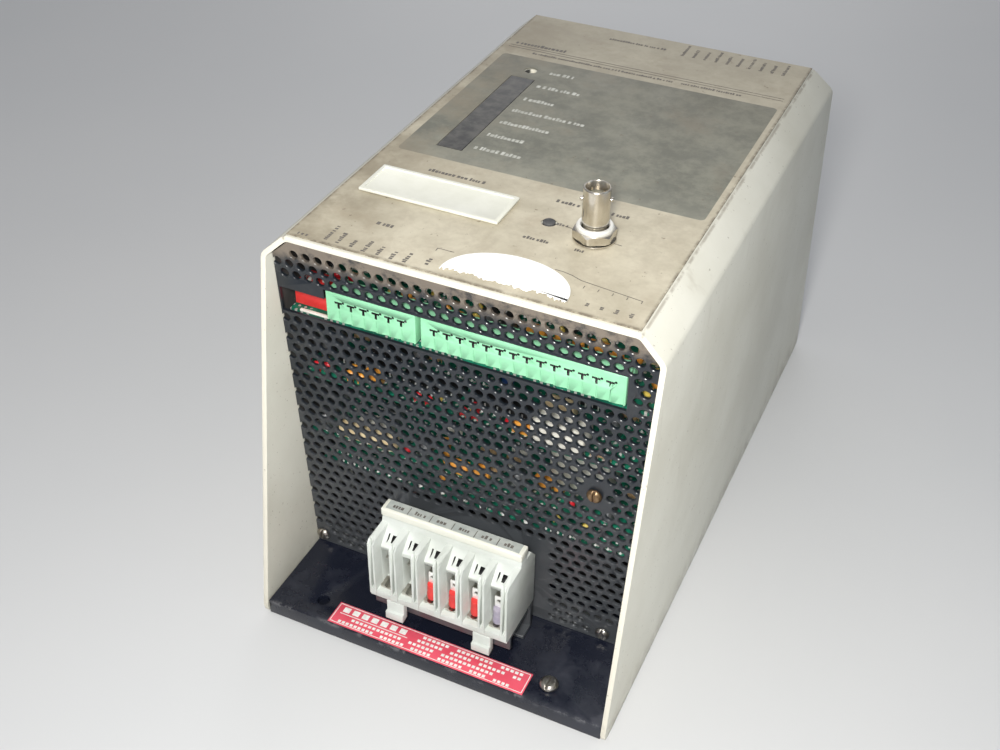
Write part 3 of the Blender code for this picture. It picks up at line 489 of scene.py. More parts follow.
def mm_box(name, x, y, z, ease=0.0):
    """The same from millimetres."""
    limits = [(low * MM, high * MM) for low, high in (x, y, z)]
    return box(name, *limits, ease * MM)


def rod(name, centre, radius, length, sides=16, turn=(0, 0, 0)):
    bpy.ops.object.select_all(action="DESELECT")
    size = {"vertices": sides, "radius": radius, "depth": length}
    bpy.ops.mesh.primitive_cylinder_add(location=centre, rotation=turn, **size)
    return settled(bpy.context.object, name)


def copied(piece, shift, name=None):
    """A copy with its own mesh, moved by shift."""
    twin = piece.copy()
    twin.data = piece.data.copy()
    bpy.context.collection.objects.link(twin)
    twin.data.transform(Matrix.Translation(shift))
    if name:
        twin.name = twin.data.name = name
    return twin


def joined(name, pieces):
    bpy.ops.object.select_all(action="DESELECT")
    for piece in pieces:
        piece.select_set(True)
    bpy.context.view_layer.objects.active = pieces[0]
    if len(pieces) > 1:
        bpy.ops.object.join()
    whole = bpy.context.view_layer.objects.active
    whole.name = whole.data.name = name
    return whole


def drilled(piece, cutter, solver="MANIFOLD"):
    """Cuts the cutter out of the piece and throws the cutter away."""
    modify(piece, "BOOLEAN", object=cutter, operation="DIFFERENCE", solver=solver)
    bpy.data.objects.remove(cutter)
    return piece


def merged_copy(node, name):
    """A copy of a CAD node whose loose triangles are merged and whose flat faces are whole again."""
    piece = bpy.data.objects.new(name, frame["nodes"][node].data.copy())
    bpy.context.collection.objects.link(piece)
    with editing(piece):
        bpy.ops.mesh.remove_doubles(threshold=0.000005)
        bpy.ops.mesh.dissolve_limited(angle_limit=math.radians(0.6))
    return piece


BODY_OF = {node: body for body, nodes in frame["record"]["behaviour"]["bodies"].items() for node in nodes}
SLOT_OF = {part["node"]: part["material_slot"] for part in frame["record"]["subparts"]}


def stand_in(piece, *nodes, finish=None):
    """The piece stands for these CAD nodes, takes their finish and moves with their body."""
    coat(piece, finish or SLOT_OF[nodes[0]])
    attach(piece, BODY_OF[nodes[0]])
    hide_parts(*nodes)
    return piece


def extra(piece, finish, body="housing"):
    """A piece that the CAD doesn't have."""
    coat(piece, finish)
    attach(piece, body)
    return piece


print("bodies that pieces can ride on:", len(set(BODY_OF.values())))


# %% [markdown]
# ## Easing the CAD edges
# A real edge is never perfectly sharp: paint rounds it and it catches the light as a thin line. The
# plain CAD solids are copied, merged back into whole faces and bevelled by a few tenths of a
# millimetre.

# %% Ease the plain parts
EASING = {
    "base_plate": 0.4,
    "cover": 0.3,
    "ground_screw": 0.25,
    "panel_screw_left": 0.2,
    "panel_screw_right": 0.2,
    "panel_screw_middle": 0.2,
    "terminal_rail": 0.3,
    "clip_foot_left": 0.25,
    "clip_foot_right": 0.25,
    "switch_body": 0.15,
    "header_rear": 0.2,
    "transformer": 0.6,
    "relay": 0.4,
    "port_connector": 0.4,
    **{f"clamp_screw_{number}": 0.15 for number in range(1, 7)},
    **{f"switch_lever_{number}": 0.15 for number in range(1, 7)},
}
OTHER_FINISH = {"panel_screw_middle": "bronze"}
for node, width in EASING.items():
    piece = eased(merged_copy(node, node + "_eased"), width * MM)
    stand_in(smooth(piece), node, finish=OTHER_FINISH.get(node))
print("eased:", len(EASING))

# %% [markdown]
# ## Perforated end panels
# The panels are punched from sheet with holes in staggered rows. One drill is modelled, with a cone
# at its mouth for the rounded punch edge, and copied to every hole. One Boolean then takes them all
# from a copy of the CAD panel, which brings its slot and its screw holes. Rows skip the places
# where a hole would break into them.

# %% The drill and the rows
HOLE_PITCH, HOLE_RADIUS = 4.94 * MM, 1.75 * MM
HOLE_ROLL = 0.22 * MM
EVEN_START, ODD_START = -72.2 * MM, -69.7 * MM
UPPER_ROWS = [(161.3, "odd"), (156.7, "even"), (152.2, "odd")]
SLOT_ROWS = [(147.9, "even"), (143.6, "odd"), (139.4, "even"), (135.1, "odd")]
LOWER_ROWS = [(130.8 - 4.624 * row, "odd" if row % 2 else "even") for row in range(27)]
HOLE_ROWS = [(z * MM, phase) for z, phase in UPPER_ROWS + SLOT_ROWS + LOWER_ROWS]


def panel_place(rear):
    """The plane of a panel's outer face, from the middle of its foot."""
    y = REAR_EDGE - PANEL_FOOT_BACK if rear else FRONT_EDGE + PANEL_FOOT_BACK
    lean = -PANEL_LEAN if rear else PANEL_LEAN
    return Matrix.Translation((0, y, PANEL_FOOT)) @ Matrix.Rotation(math.pi / 2 + lean, 4, "X")


def drill(facing):
    """A bit that widens towards the sheet's outer face. Facing is 1 where that face looks along +Z."""
    bpy.ops.object.select_all(action="DESELECT")
    depth = 3 * MM
    middle = -facing * (depth / 2 + HOLE_ROLL)
    size = {"vertices": 16, "radius": HOLE_RADIUS, "depth": depth}
    bpy.ops.mesh.primitive_cylinder_add(location=(0, 0, middle), **size)
    bit = settled(bpy.context.object, "drill")
    rise = 2 * HOLE_ROLL
    spread = (HOLE_RADIUS + rise) / HOLE_RADIUS
    with editing(bit, lambda face: face.normal.z * facing > 0.99):
        bpy.ops.mesh.extrude_region_move(TRANSFORM_OT_translate={"value": (0, 0, facing * rise)})
        bpy.ops.transform.resize(value=(spread, spread, 1), center_override=(0, 0, 0))
    return bit


def clear_of(x, z, keep_outs):
    """True when a hole here breaks into none of the keep-out boxes (x low, x high, z low, z high)."""
    margin = HOLE_RADIUS
    return not any(a - margin < x < b + margin and c - margin < z < d + margin for a, b, c, d in keep_outs)


CORNER_ROW, CORNER_REACH = 159.5 * MM, 65.2 * MM


def perforated(node, rear, keep_outs):
    """A merged copy of the CAD panel, drilled over its whole face."""
    bit, bits = drill(-1 if rear else 1), []
    for z, phase in HOLE_ROWS:
        start = EVEN_START if phase == "even" else ODD_START
        for column in range(30 if phase == "even" else 29):
            x = start + column * HOLE_PITCH
            corner = z > CORNER_ROW and abs(x) > CORNER_REACH
            if clear_of(x, z, keep_outs) and not corner:
                bits.append(copied(bit, (x, (z - PANEL_FOOT) / math.cos(PANEL_LEAN), 0)))
    bpy.data.objects.remove(bit)
    cutter = joined("drills", bits)
    cutter.data.transform(panel_place(rear))
    panel = drilled(merged_copy(node, node + "_perforated"), cutter)
    print(node, "holes:", len(bits), "faces:", len(panel.data.polygons))
    return smooth(panel, 40)


print("rows of holes:", len(HOLE_ROWS))


# %% Drill both panels
def screw_zone(x, z, reach=3.6 * MM):
    return (x - reach, x + reach, z - reach, z + reach)


plug_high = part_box("plug_right")[1]
front_keep_outs = [
    (-0.0740, plug_high.x + 0.5 * MM, 0.1337, plug_high.z + 0.2 * MM),
    (-0.0330, 0.0330, 0.0070, 0.0545),
    screw_zone(-0.0704, 0.0122),
    screw_zone(0.0587, 0.0122),
    screw_zone(0.0527, 0.0893),
]
rear_low, rear_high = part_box("plug_rear")
rear_keep_outs = [(rear_low.x - 1 * MM, rear_high.x + 1 * MM, 0.1330, rear_high.z + 1 * MM)]
stand_in(perforated("front_panel", False, front_keep_outs), "front_panel")
stand_in(perforated("rear_panel", True, rear_keep_outs), "rear_panel")

# %% [markdown]
# ## Turned pieces
# Anything round is made on a lathe, and a lathe is easy to copy in edit mode: a circle is extruded,
# moved up and scaled once for every corner of the profile. The ends are capped, or merged when the
# profile closes on itself.


# %% A lathe
def turned(name, centre, profile, sides=48, smooth_under=35):
    """Turns a profile of (radius, height) corners about the vertical through centre."""
    x, y = centre
    radius, height = profile[0]
    bpy.ops.object.select_all(action="DESELECT")
    bpy.ops.mesh.primitive_circle_add(vertices=sides, radius=radius, location=(x, y, height))
    piece = settled(bpy.context.object, name)
    with editing(piece):
        if profile[0] != profile[-1]:
            bpy.ops.mesh.edge_face_add()
        for next_radius, next_height in profile[1:]:
            bpy.ops.mesh.extrude_region_move(TRANSFORM_OT_translate={"value": (0, 0, next_height - height)})
            share = next_radius / radius
            bpy.ops.transform.resize(value=(share, share, 1), center_override=(x, y, next_height))
            radius, height = next_radius, next_height
        bpy.ops.mesh.select_all(action="SELECT")
        bpy.ops.mesh.remove_doubles(threshold=0.000002)
        bpy.ops.mesh.normals_make_consistent(inside=False)
    return smooth(piece, smooth_under)


def row_cut(piece, bit, shifts):
    """Cuts one copy of the bit at each shift, all in one Boolean."""
    bits = [copied(bit, shift) for shift in shifts]
    bpy.data.objects.remove(bit)
    return drilled(piece, joined("bits", bits))


print("lathe and row cutter are ready")


# %% [markdown]
# ## Coaxial socket
# The socket is nickel-plated brass: a barrel with a bayonet lug on each side, a thin washer, a
# hexagon nut, and a brighter turned collar over the nut. Inside, an insulator carries the contact
# tube. Each is one profile on the lathe, apart from the nut, which is a six-sided primitive with
# its corners turned off.

# %% Turn the socket
coax_low, coax_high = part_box("coax_body")
COAX_AT = ((coax_low.x + coax_high.x) / 2, (coax_low.y + coax_high.y) / 2)
coax_top = coax_high.z
BARREL, BORE, BORE_DEPTH = 4.85 * MM, 4.1 * MM, 9.0 * MM
barrel_profile = [
    (3.2 * MM, coax_low.z), (4.35 * MM, coax_low.z), (4.35 * MM, 177.2 * MM),
    (4.65 * MM, 177.5 * MM), (BARREL, 178.2 * MM), (BARREL, coax_top - 0.35 * MM),
    (BARREL - 0.25 * MM, coax_top), (BORE + 0.15 * MM, coax_top), (BORE, coax_top - 0.25 * MM),
    (BORE, coax_top - BORE_DEPTH),
]
barrel = turned("coax_barrel", COAX_AT, barrel_profile)
LUG_DROP, LUG_TURN = 4.8 * MM, math.radians(20)
lugs = []
for side in (0, math.pi):
    angle = LUG_TURN + side
    reach = BARREL + 0.2 * MM
    x, y = COAX_AT[0] + reach * math.cos(angle), COAX_AT[1] + reach * math.sin(angle)
    place = (x, y, coax_top - LUG_DROP)
    lug = rod(f"coax_lug_{len(lugs)}", place, 0.85 * MM, 1.6 * MM, 20, (0, math.pi / 2, angle))
    lugs.append(smooth(eased(lug, 0.2 * MM)))
stand_in(joined("coax_barrel", [barrel, *lugs]), "coax_body")

insulator_low, insulator_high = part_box("coax_insulator")
insulator_profile = [
    (2.15 * MM, insulator_low.z), (2.2 * MM, insulator_low.z + 0.1 * MM),
    (2.2 * MM, insulator_high.z - 0.2 * MM), (2.0 * MM, insulator_high.z),
    (0.9 * MM, insulator_high.z), (0.8 * MM, insulator_high.z - 0.2 * MM),
    (0.8 * MM, insulator_high.z - 3.0 * MM),
]
stand_in(turned("insulator", COAX_AT, insulator_profile, 32), "coax_insulator")

washer_low, washer_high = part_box("coax_washer")
washer_profile = [
    (4.9 * MM, washer_low.z), (7.7 * MM, washer_low.z), (7.8 * MM, washer_low.z + 0.15 * MM),
    (7.7 * MM, washer_high.z), (4.9 * MM, washer_high.z), (4.9 * MM, washer_low.z),
]
stand_in(turned("washer", COAX_AT, washer_profile, 64), "coax_washer")

nut_low, nut_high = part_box("coax_nut")
HEX_TOP, HEX_RADIUS, COLLAR = 175.1 * MM, 8.1 * MM, 6.6 * MM
hexagon = rod("hexagon", (*COAX_AT, (nut_low.z + HEX_TOP) / 2), HEX_RADIUS, HEX_TOP - nut_low.z, 6)
chamfer_profile = [
    (7.45 * MM, nut_low.z - 0.01 * MM), (7.9 * MM, nut_low.z + 0.3 * MM),
    (7.95 * MM, HEX_TOP - 0.6 * MM), (7.1 * MM, HEX_TOP + 0.01 * MM),
]
chamfer = turned("chamfer", COAX_AT, chamfer_profile, 48)
modify(hexagon, "BOOLEAN", object=chamfer, operation="INTERSECT", solver="MANIFOLD")
bpy.data.objects.remove(chamfer)
collar_profile = [
    (5.0 * MM, HEX_TOP + 0.05 * MM), (COLLAR, HEX_TOP + 0.05 * MM), (COLLAR, nut_high.z - 0.5 * MM),
    (COLLAR - 0.4 * MM, nut_high.z), (5.3 * MM, nut_high.z), (5.0 * MM, nut_high.z - 0.4 * MM),
    (5.0 * MM, HEX_TOP + 0.05 * MM),
]
collar = turned("coax_collar", COAX_AT, collar_profile, 48)
extra(collar, "bright_plate")
bore = rod("bore", (*COAX_AT, 174 * MM), 4.95 * MM, 12 * MM, 48)
nut = smooth(drilled(hexagon, bore), 30)
stand_in(settled(nut, "hexagon_nut"), "coax_nut")

# %% [markdown]
# ## Lid, sticker and status light
# The port's lid is a shallow tray with a raised rim. Its top face is inset and pushed down, which
# leaves the rim. The paper sticker was torn off along its front: half a disc whose straight edge is
# ragged. The status light is a flat dark disc flush with the film, so its pipe gets a dished top.


# %% Lid with a raised rim
def dished(piece, height, rim, drop):
    """Insets the faces that look up at this height and pushes them down inside a rim."""
    with editing(piece, lambda face: face.normal.z > 0.99 and abs(face.center.z - height) < 0.05 * MM):
        bpy.ops.mesh.inset(thickness=rim)
        bpy.ops.mesh.extrude_region_move(TRANSFORM_OT_translate={"value": (0, 0, -drop)})
    return piece


RIM, RIM_DROP = 1.3 * MM, 0.55 * MM
lid = dished(merged_copy("port_cover", "port_lid"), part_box("port_cover")[1].z, RIM, RIM_DROP)
stand_in(smooth(eased(lid, 0.22 * MM)), "port_cover")
print("lid faces:", len(lid.data.polygons))

# %% Torn paper sticker
sticker_low, sticker_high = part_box("paper_sticker")
STICKER_MIDDLE = (sticker_low.x + sticker_high.x) / 2
STICKER_HALF = (sticker_high.x - sticker_low.x) / 2
STICKER_TORN = back(4.6 * MM)
torn = random.Random(4)
bpy.ops.object.select_all(action="DESELECT")
bpy.ops.mesh.primitive_circle_add(vertices=240, radius=1, fill_type="NGON", location=(0, 0, 0))
sticker = settled(bpy.context.object, "torn_sticker")
STICKER_RISE = sticker_high.y - STICKER_TORN
ragged = 0.0
for point in sticker.data.vertices:
    x, y = point.co.x, point.co.y
    if y < 0:
        ragged = ragged * 0.6 + torn.uniform(-0.7, 0.9) * MM
        span = abs(x)
        point.co.y = STICKER_TORN + ragged + (1 - span) * 0.3 * MM
    else:
        point.co.y = STICKER_TORN + y**0.92 * STICKER_RISE
    point.co.x = STICKER_MIDDLE + x * STICKER_HALF
    point.co.y = max(point.co.y, sticker_low.y + 0.2 * MM)
    point.co.z = sticker_low.z
with editing(sticker):
    bpy.ops.mesh.extrude_region_move(TRANSFORM_OT_translate={"value": (0, 0, 0.3 * MM)})
    bpy.ops.mesh.select_all(action="SELECT")
    bpy.ops.mesh.normals_make_consistent(inside=False)
stand_in(sticker, "paper_sticker")
print("sticker points:", len(sticker.data.vertices))

# %% Status light and reset button
pipe_low, pipe_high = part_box("status_light_pipe")
PIPE_AT = ((pipe_low.x + pipe_high.x) / 2, (pipe_low.y + pipe_high.y) / 2)
PIPE_RADIUS = (pipe_high.x - pipe_low.x) / 2
pipe_profile = [
    (PIPE_RADIUS * 0.9, pipe_low.z), (PIPE_RADIUS, pipe_low.z + 0.3 * MM),
    (PIPE_RADIUS, pipe_high.z - 0.3 * MM), (PIPE_RADIUS - 0.3 * MM, pipe_high.z - 0.05 * MM),
    (PIPE_RADIUS - 0.6 * MM, pipe_high.z - 0.1 * MM), (0.3 * MM, pipe_high.z - 0.25 * MM),
]
stand_in(turned("status_light", PIPE_AT, pipe_profile, 40), "status_light_pipe", finish="smoked")
button_low, button_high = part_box("reset_button")
BUTTON_AT = ((button_low.x + button_high.x) / 2, (button_low.y + button_high.y) / 2)
BUTTON_RADIUS = (button_high.x - button_low.x) / 2
button_profile = [
    (BUTTON_RADIUS - 0.1 * MM, button_low.z), (BUTTON_RADIUS, button_low.z + 0.1 * MM),
    (BUTTON_RADIUS, button_high.z - 0.5 * MM), (BUTTON_RADIUS - 0.3 * MM, button_high.z - 0.1 * MM),
    (BUTTON_RADIUS - 0.7 * MM, button_high.z), (0.4 * MM, button_high.z - 0.15 * MM),
]
stand_in(turned("reset_cap", BUTTON_AT, button_profile, 40), "reset_button")
print("light pipe and button radius, mm:", round(PIPE_RADIUS / MM, 2), round(BUTTON_RADIUS / MM, 2))

# %% [markdown]
# ## Pluggable connectors
# Each module of a plug shows the same mouldings: a wedge that leads a wire in, a slit and a short
# stem where two modules meet, and a small round hole. Each kind of cut is one bit, copied along the
# row, and one Boolean takes the whole row. The walls of the slits are painted with shade, in a
# black slot. The nose that hides in the header is then shortened, and so are the two front headers,
# because small parts stand on the board right behind them.


# %% Cut the plug faces
PLUG_MODULE = 5.08 * MM
PLUG_END = 0.4 * MM
PLUGS = {"plug_left": 7, "plug_right": 15, "plug_rear": 12}
NOSE_KEPT = 10.4 * MM


def paint_recess_shade(piece, chosen):
    """Gives the faces whose middle passes the test a second, black slot, as painted shade in deep recesses.
    """
    piece.data.materials.append(FINISH["black_plastic"].material)
    for face in piece.data.polygons:
        if chosen(face.center):
            face.material_index = len(piece.data.materials) - 1


def wedge(face, outward, bottom):
    """A cutter that slopes into the lower half of a module's face."""
    side = 0.35 * MM
    cutter = box("wedge", (side, PLUG_MODULE - side), (-0.5 * MM, 0.9 * MM), (-1 * MM, 5.6 * MM))
    for point in cutter.data.vertices:
        if point.co.y > 0 and point.co.z > 0:
            point.co.y = -0.02 * MM
        if point.co.y > 0 and point.co.x < 1 * MM:
            point.co.y *= 0.35
        point.co.y = face - outward * point.co.y
        point.co.z += bottom
    if outward > 0:
        with editing(cutter):
            bpy.ops.mesh.normals_make_consistent(inside=False)
    return cutter


def moulded_plug(node, modules):
    low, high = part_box(node)
    rear = node == "plug_rear"
    face, outward = (high.y, 1) if rear else (low.y, -1)

    def bit(x, depth, z):
        y = sorted((face + outward * 0.5 * MM, face - outward * depth))
        return box("bit", x, y, (low.z + z[0], low.z + z[1]))

    starts = [low.x + PLUG_END + PLUG_MODULE * module for module in range(modules)]
    seams = [(start, 0, 0) for start in starts[1:]]
    plug = eased(merged_copy(node, node + "_moulded"), 0.2 * MM)
    row_cut(plug, wedge(face, outward, low.z), [(start, 0, 0) for start in starts])
    row_cut(plug, bit((-0.07 * MM, 0.07 * MM), 0.15 * MM, (-1 * MM, 5.4 * MM)), seams)
    row_cut(plug, bit((-1.8 * MM, 1.3 * MM), 2.4 * MM, (8.1 * MM, 8.95 * MM)), seams)
    row_cut(plug, bit((-0.6 * MM, 0.35 * MM), 2.2 * MM, (6.2 * MM, 8.5 * MM)), seams)
    dot_turn = (math.pi / 2, 0, 0)
    dot_at = (1.75 * MM, face - outward * 1.2 * MM, low.z + 9.0 * MM)
    dot = rod("dot", dot_at, 0.5 * MM, 4 * MM, 12, dot_turn)
    row_cut(plug, dot, seams)
    nose = sorted((face - outward * NOSE_KEPT, face - outward * 20 * MM))
    spare = 1 * MM
    drilled(plug, box("nose_end", (low.x - spare, high.x + spare), nose, (low.z - spare, high.z + spare)))
    stand_in(smooth(plug, 30), node)
    # Painted shade: the deep walls of the slits, stems and holes take the black slot.
    paint_recess_shade(plug, lambda c: 1.0 * MM < (face - c.y) * outward < 2.45 * MM)
    print(node, "faces:", len(plug.data.polygons))


for node, modules in PLUGS.items():
    moulded_plug(node, modules)

# %% Shorten the headers
HEADER_KEPT, HEADER_ZONE = 4.2 * MM, (0.13, 0.16)
for node in ("header_left", "header_right"):
    low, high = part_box(node)
    header = eased(merged_copy(node, node + "_short"), 0.15 * MM)
    x, y = (low.x - 1 * MM, high.x + 1 * MM), (low.y + HEADER_KEPT, high.y + 1 * MM)
    stand_in(smooth(drilled(header, box("rear_part", x, y, HEADER_ZONE))), node)
print("header depth kept, mm:", HEADER_KEPT / MM)

# %% [markdown]
# ## Terminal block
# The block is one moulding with seven barriers. In the slope above each channel it has a square
# pocket and a slit, and behind each barrier's edge a narrow groove, all cut from an eased copy. A
# bent clamp plate goes under each screw, with a notched saddle in front. Four channels still hold a
# crimped lug: three have a red collar and one a violet-grey one.

# %% Pockets, plates and collars
POLE_PITCH = 9.525 * MM
CHANNELS = [(number - 3.5) * POLE_PITCH for number in range(1, 7)]
block = eased(merged_copy("terminal_block", "barrier_block"), 0.25 * MM)
in_each_channel = [(x, 0, 0) for x in CHANNELS]
barrier_xs = [CHANNELS[0] - POLE_PITCH / 2, *(x + POLE_PITCH / 2 for x in CHANNELS)]
row_cut(block, mm_box("pocket", (0.1, 2.0), (-127, -117.6), (47.0, 49.2)), in_each_channel)
row_cut(block, mm_box("slit", (-1.7, -1.1), (-127, -118.6), (46.6, 49.4)), in_each_channel)
row_cut(block, mm_box("well", (-3.35, 3.35), (-128.6, -118.95), (25.0, 43.8)), in_each_channel)
row_cut(block, mm_box("groove", (-0.6, 0.6), (-132, -128.3), (26.5, 58)), [(x, 0, 0) for x in barrier_xs])
stand_in(smooth(block, 30), "terminal_block")
# Painted shade: the deep faces of the pockets and slits take the black slot.
paint_recess_shade(block, lambda c: -120.9 * MM < c.y < -117 * MM and 46.4 * MM < c.z < 49.5 * MM)

plate = mm_box("clamp_plate", (-3.0, 3.0), (-119.85, -119.05), (25.4, 37.4), 0.15)
lip = mm_box("lip", (-2.8, 2.8), (-122.6, -119.3), (37.0, 37.8), 0.15)
modify(plate, "BOOLEAN", object=lip, operation="UNION", solver="MANIFOLD")
bpy.data.objects.remove(lip)
saddle = mm_box("saddle", (-2.9, 2.9), (-127.6, -122.4), (25.1, 26.6), 0.2)
notch = rod("notch", (0, -125.0 * MM, 27.3 * MM), 1.5 * MM, 8 * MM, 20, (math.pi / 2, 0, 0))
drilled(saddle, notch)
print("block faces:", len(block.data.polygons))

# %% Crimped lugs
LUG_Y = -124.6 * MM
lug_profile = [
    (1.5 * MM, 26.7 * MM), (2.3 * MM, 26.8 * MM), (2.4 * MM, 29.4 * MM), (2.1 * MM, 30.4 * MM),
    (2.3 * MM, 31.4 * MM), (2.1 * MM, 34.0 * MM), (1.4 * MM, 34.2 * MM),
]
sleeve = turned("lug_collar", (0, LUG_Y), lug_profile, 20)
tongue = mm_box("lug_tongue", (-1.9, 1.9), (-124.4, -123.7), (34.0, 39.5), 0.2)
eye = rod("eye", (0, -124 * MM, 37.2 * MM), 1.1 * MM, 4 * MM, 16, (math.pi / 2, 0, 0))
drilled(tongue, eye)
LUG_FINISH = {3: "red_plastic", 4: "red_plastic", 5: "red_plastic", 6: "violet_grey"}
for number, x in enumerate(CHANNELS, start=1):
    extra(smooth(copied(plate, (x, 0, 0), f"clamp_plate_{number}")), "zinc_steel")
    extra(smooth(copied(saddle, (x, 0, 0), f"clamp_saddle_{number}")), "zinc_steel")
    if number in LUG_FINISH:
        extra(smooth(copied(sleeve, (x, 0, 0), f"lug_collar_{number}")), LUG_FINISH[number])
        extra(smooth(copied(tongue, (x, 0, 0), f"lug_tongue_{number}")), "tin")
for model in (plate, saddle, sleeve, tongue):
    bpy.data.objects.remove(model)
print("channels with a lug:", len(LUG_FINISH))

# %% [markdown]
# ## Printed rows
# Printed words become plain rows of small ink blocks of uneven width, with a gap now and then, so
# they read as a legend without saying anything. A row is one block, copied along a line, with its
# length from a seeded generator. The same function prints along the other axis for the upright
# legends.


# %% A row of ink blocks
INK = 0.05 * MM
ink_order = random.Random(11)


def ink_block(x, y, z, size):
    return box("ink", (x, x + size[0]), (y, y + size[1]), (z, z + INK))


def ink_row(start, length, height, floor, upright=False):
    """Ink blocks from start = (x, y) over this length; upright rows run towards the rear."""
    blocks, place = [], 0.0
    while place < length - 0.3 * height:
        width = min(height * ink_order.uniform(0.32, 0.62), length - place)
        tall = height * ink_order.choice((1.0, 0.72, 0.72, 0.8))
        if upright:
            blocks.append(ink_block(start[0] - tall, start[1] + place, floor, (tall, width)))
        else:
            blocks.append(ink_block(start[0] + place, start[1], floor, (width, tall)))
        place += width + height * ink_order.choice((0.16, 0.16, 0.20, 0.20, 0.5))
    return blocks


def ink_line(start, end, width, floor):
    """A thin printed line between two points of the top."""
    (x0, y0), (x1, y1) = start, end
    length = math.hypot(x1 - x0, y1 - y0)
    line = box("line", (0, length), (-width / 2, width / 2), (floor, floor + INK))
    turn = Matrix.Translation((x0, y0, 0)) @ Matrix.Rotation(math.atan2(y1 - y0, x1 - x0), 4, "Z")
    line.data.transform(turn)
    return line


print("ink thickness, mm:", INK / MM)


# %% Legends on the top film
def legend(x, distance, length, height, upright=False):
    """A row on the film, placed in millimetres across and behind the front edge."""
    return ink_row((x * MM, back(distance * MM)), length * MM, height * MM, FILM_TOP, upright)


WHITE_LEFT = -34.6
WHITE_ENDS = {160: -23.8, 146: -14.6, 132.6: -21.1, 121.2: -3.1, 109.4: -12.8, 97.5: -17.7, 85.6: -15}
white_rows = []
for distance, end in WHITE_ENDS.items():
    white_rows += legend(WHITE_LEFT, distance, end - WHITE_LEFT, 2.5)
extra(joined("white_legends", white_rows), "faded_ink")

dark_rows = legend(-61, 183.4, 25, 2.6)
for y in (back(181.7 * MM), back(179.6 * MM)):
    dark_rows.append(ink_line((-62.6 * MM, y), (62.9 * MM, y), 0.35 * MM, FILM_TOP))
dark_rows += legend(-49.7, 176, 65.4, 1.6) + legend(19.4, 176.2, 26.9, 1.6) + legend(-24.7, 206, 27.7, 1.8)
for column in range(10):
    dark_rows += legend(11.2 + 5.08 * column, 204, 9 + 2.4 * (column % 3 == 0), 1.5, upright=True)
for start, end in ((-42.2, -18.3), (10.2, 19.5), (31.7, 38.4)):
    dark_rows += legend(start, 62.2, end - start, 2.0)
dark_rows += legend(16.5, 47.6, 5.5, 1.6) + legend(9.3, 34.6, 9.5, 1.8) + legend(28.7, 34.6, 3.7, 1.5)
dark_rows += legend(-40.9, 20, 7.7, 2.3) + legend(-62.4, 2.3, 4.5, 1.7)
LEFT_COLUMNS = ((-51.0, 3.3, 13), (-46.2, 3.1, 11.2), (-40.8, 3, 8), (-35.4, 2.3, 9.4), (-30.2, 2.5, 8))
LEFT_COLUMNS += ((-24.8, 2.2, 7.8), (-19.7, 2.5, 9), (-12.2, 4.5, 8.8))
for x, start, end in LEFT_COLUMNS:
    dark_rows += legend(x, start, end - start, 1.7, upright=True)
for column in range(4):
    dark_rows += legend(45.6 + 5.08 * column, 5.6, 2.4, 1.5, upright=True)
extra(joined("dark_legends", dark_rows), "grey_ink")
print("ink blocks:", len(white_rows) + len(dark_rows))

# %% Brackets over the pin numbers
BRACKET_LINES = [
    ((-13.9, 15.5), (-7.7, 15.5)),
    ((-13.9, 15.5), (-13.9, 13.8)),
    ((38.0, 18.6), (60.6, 16.0)),
    ((34.0, 20.2), (38.0, 18.6)),
    ((30.5, 20.9), (34.0, 20.2)),
    ((27.5, 21.0), (30.5, 20.9)),
]
BRACKET_LINES += [((40.3 + 5.08 * tick, 16.2), (40.3 + 5.08 * tick, 14.6)) for tick in range(5)]
BRACKET_LINES += [((20.0, 48.0), (25.0, 47.4)), ((39.5, 45.0), (42.5, 44.6))]
brackets = [
    ink_line((x0 * MM, back(y0 * MM)), (x1 * MM, back(y1 * MM)), 0.3 * MM, FILM_TOP)
    for (x0, y0), (x1, y1) in BRACKET_LINES
]
extra(joined("pin_brackets", brackets), "grey_ink")
print("bracket lines:", len(brackets))

# %% [markdown]
# ## Flange label and marker cards
# The red label has a thin white border, one larger underlined heading block at its left and four
# rows of plain bars. Each grey card in the marker strip has a short bar and a tick at its end.

# %% Border and bars on the label
label_low, label_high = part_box("caution_label")
stand_in(smooth(eased(merged_copy("caution_label", "flange_label"), 0.12 * MM)), "caution_label")
inset = 0.7 * MM
left, right = label_low.x + inset, label_high.x - inset
front, rear = label_low.y + inset, label_high.y - inset
label_floor = label_high.z
along = [((left, y), (right, y)) for y in (front, rear)]
across = [((x, front), (x, rear)) for x in (left, right)]
border = [ink_line(start, end, 0.3 * MM, label_floor) for start, end in along + across]
heading = []
HEADING_START, HEADING_PITCH, HEADING_SIZE = 3.2 * MM, 4.35 * MM, (2.9 * MM, 2.6 * MM)
for letter in range(7):
    place = label_low.x + HEADING_START + letter * HEADING_PITCH
    heading.append(ink_block(place, rear - 3.6 * MM, label_floor, HEADING_SIZE))
underline = [(x, rear - 4.5 * MM) for x in (left + 2 * MM, label_low.x + HEADING_START + 7 * HEADING_PITCH)]
heading.append(ink_line(*underline, 0.35 * MM, label_floor))
LABEL_ROWS = (
    (39.5, 84.0, (6, 8, 5)),
    (38.0, 84.0, (6, 5, 6, 2)),
    (9.0, 73.0, (12, 6, 12)),
    (4.0, 81.0, (9, 6, 5, 6, 4, 4)),
)
WORD_GAP = 1.6
bars = []
for row, (start, end, words) in enumerate(LABEL_ROWS):
    pitch = (end - start) * MM / (sum(words) + WORD_GAP * (len(words) - 1))
    place = label_low.x + start * MM
    bar_y = rear - (2.1 + 2.35 * row) * MM
    for letters in words:
        for letter in range(letters):
            bars.append(ink_block(place, bar_y, label_floor, (pitch * 0.68, 1.25 * MM)))
            place += pitch
        place += pitch * WORD_GAP
extra(joined("label_bars", border + heading + bars), "white_ink")
print("label bars:", len(bars))

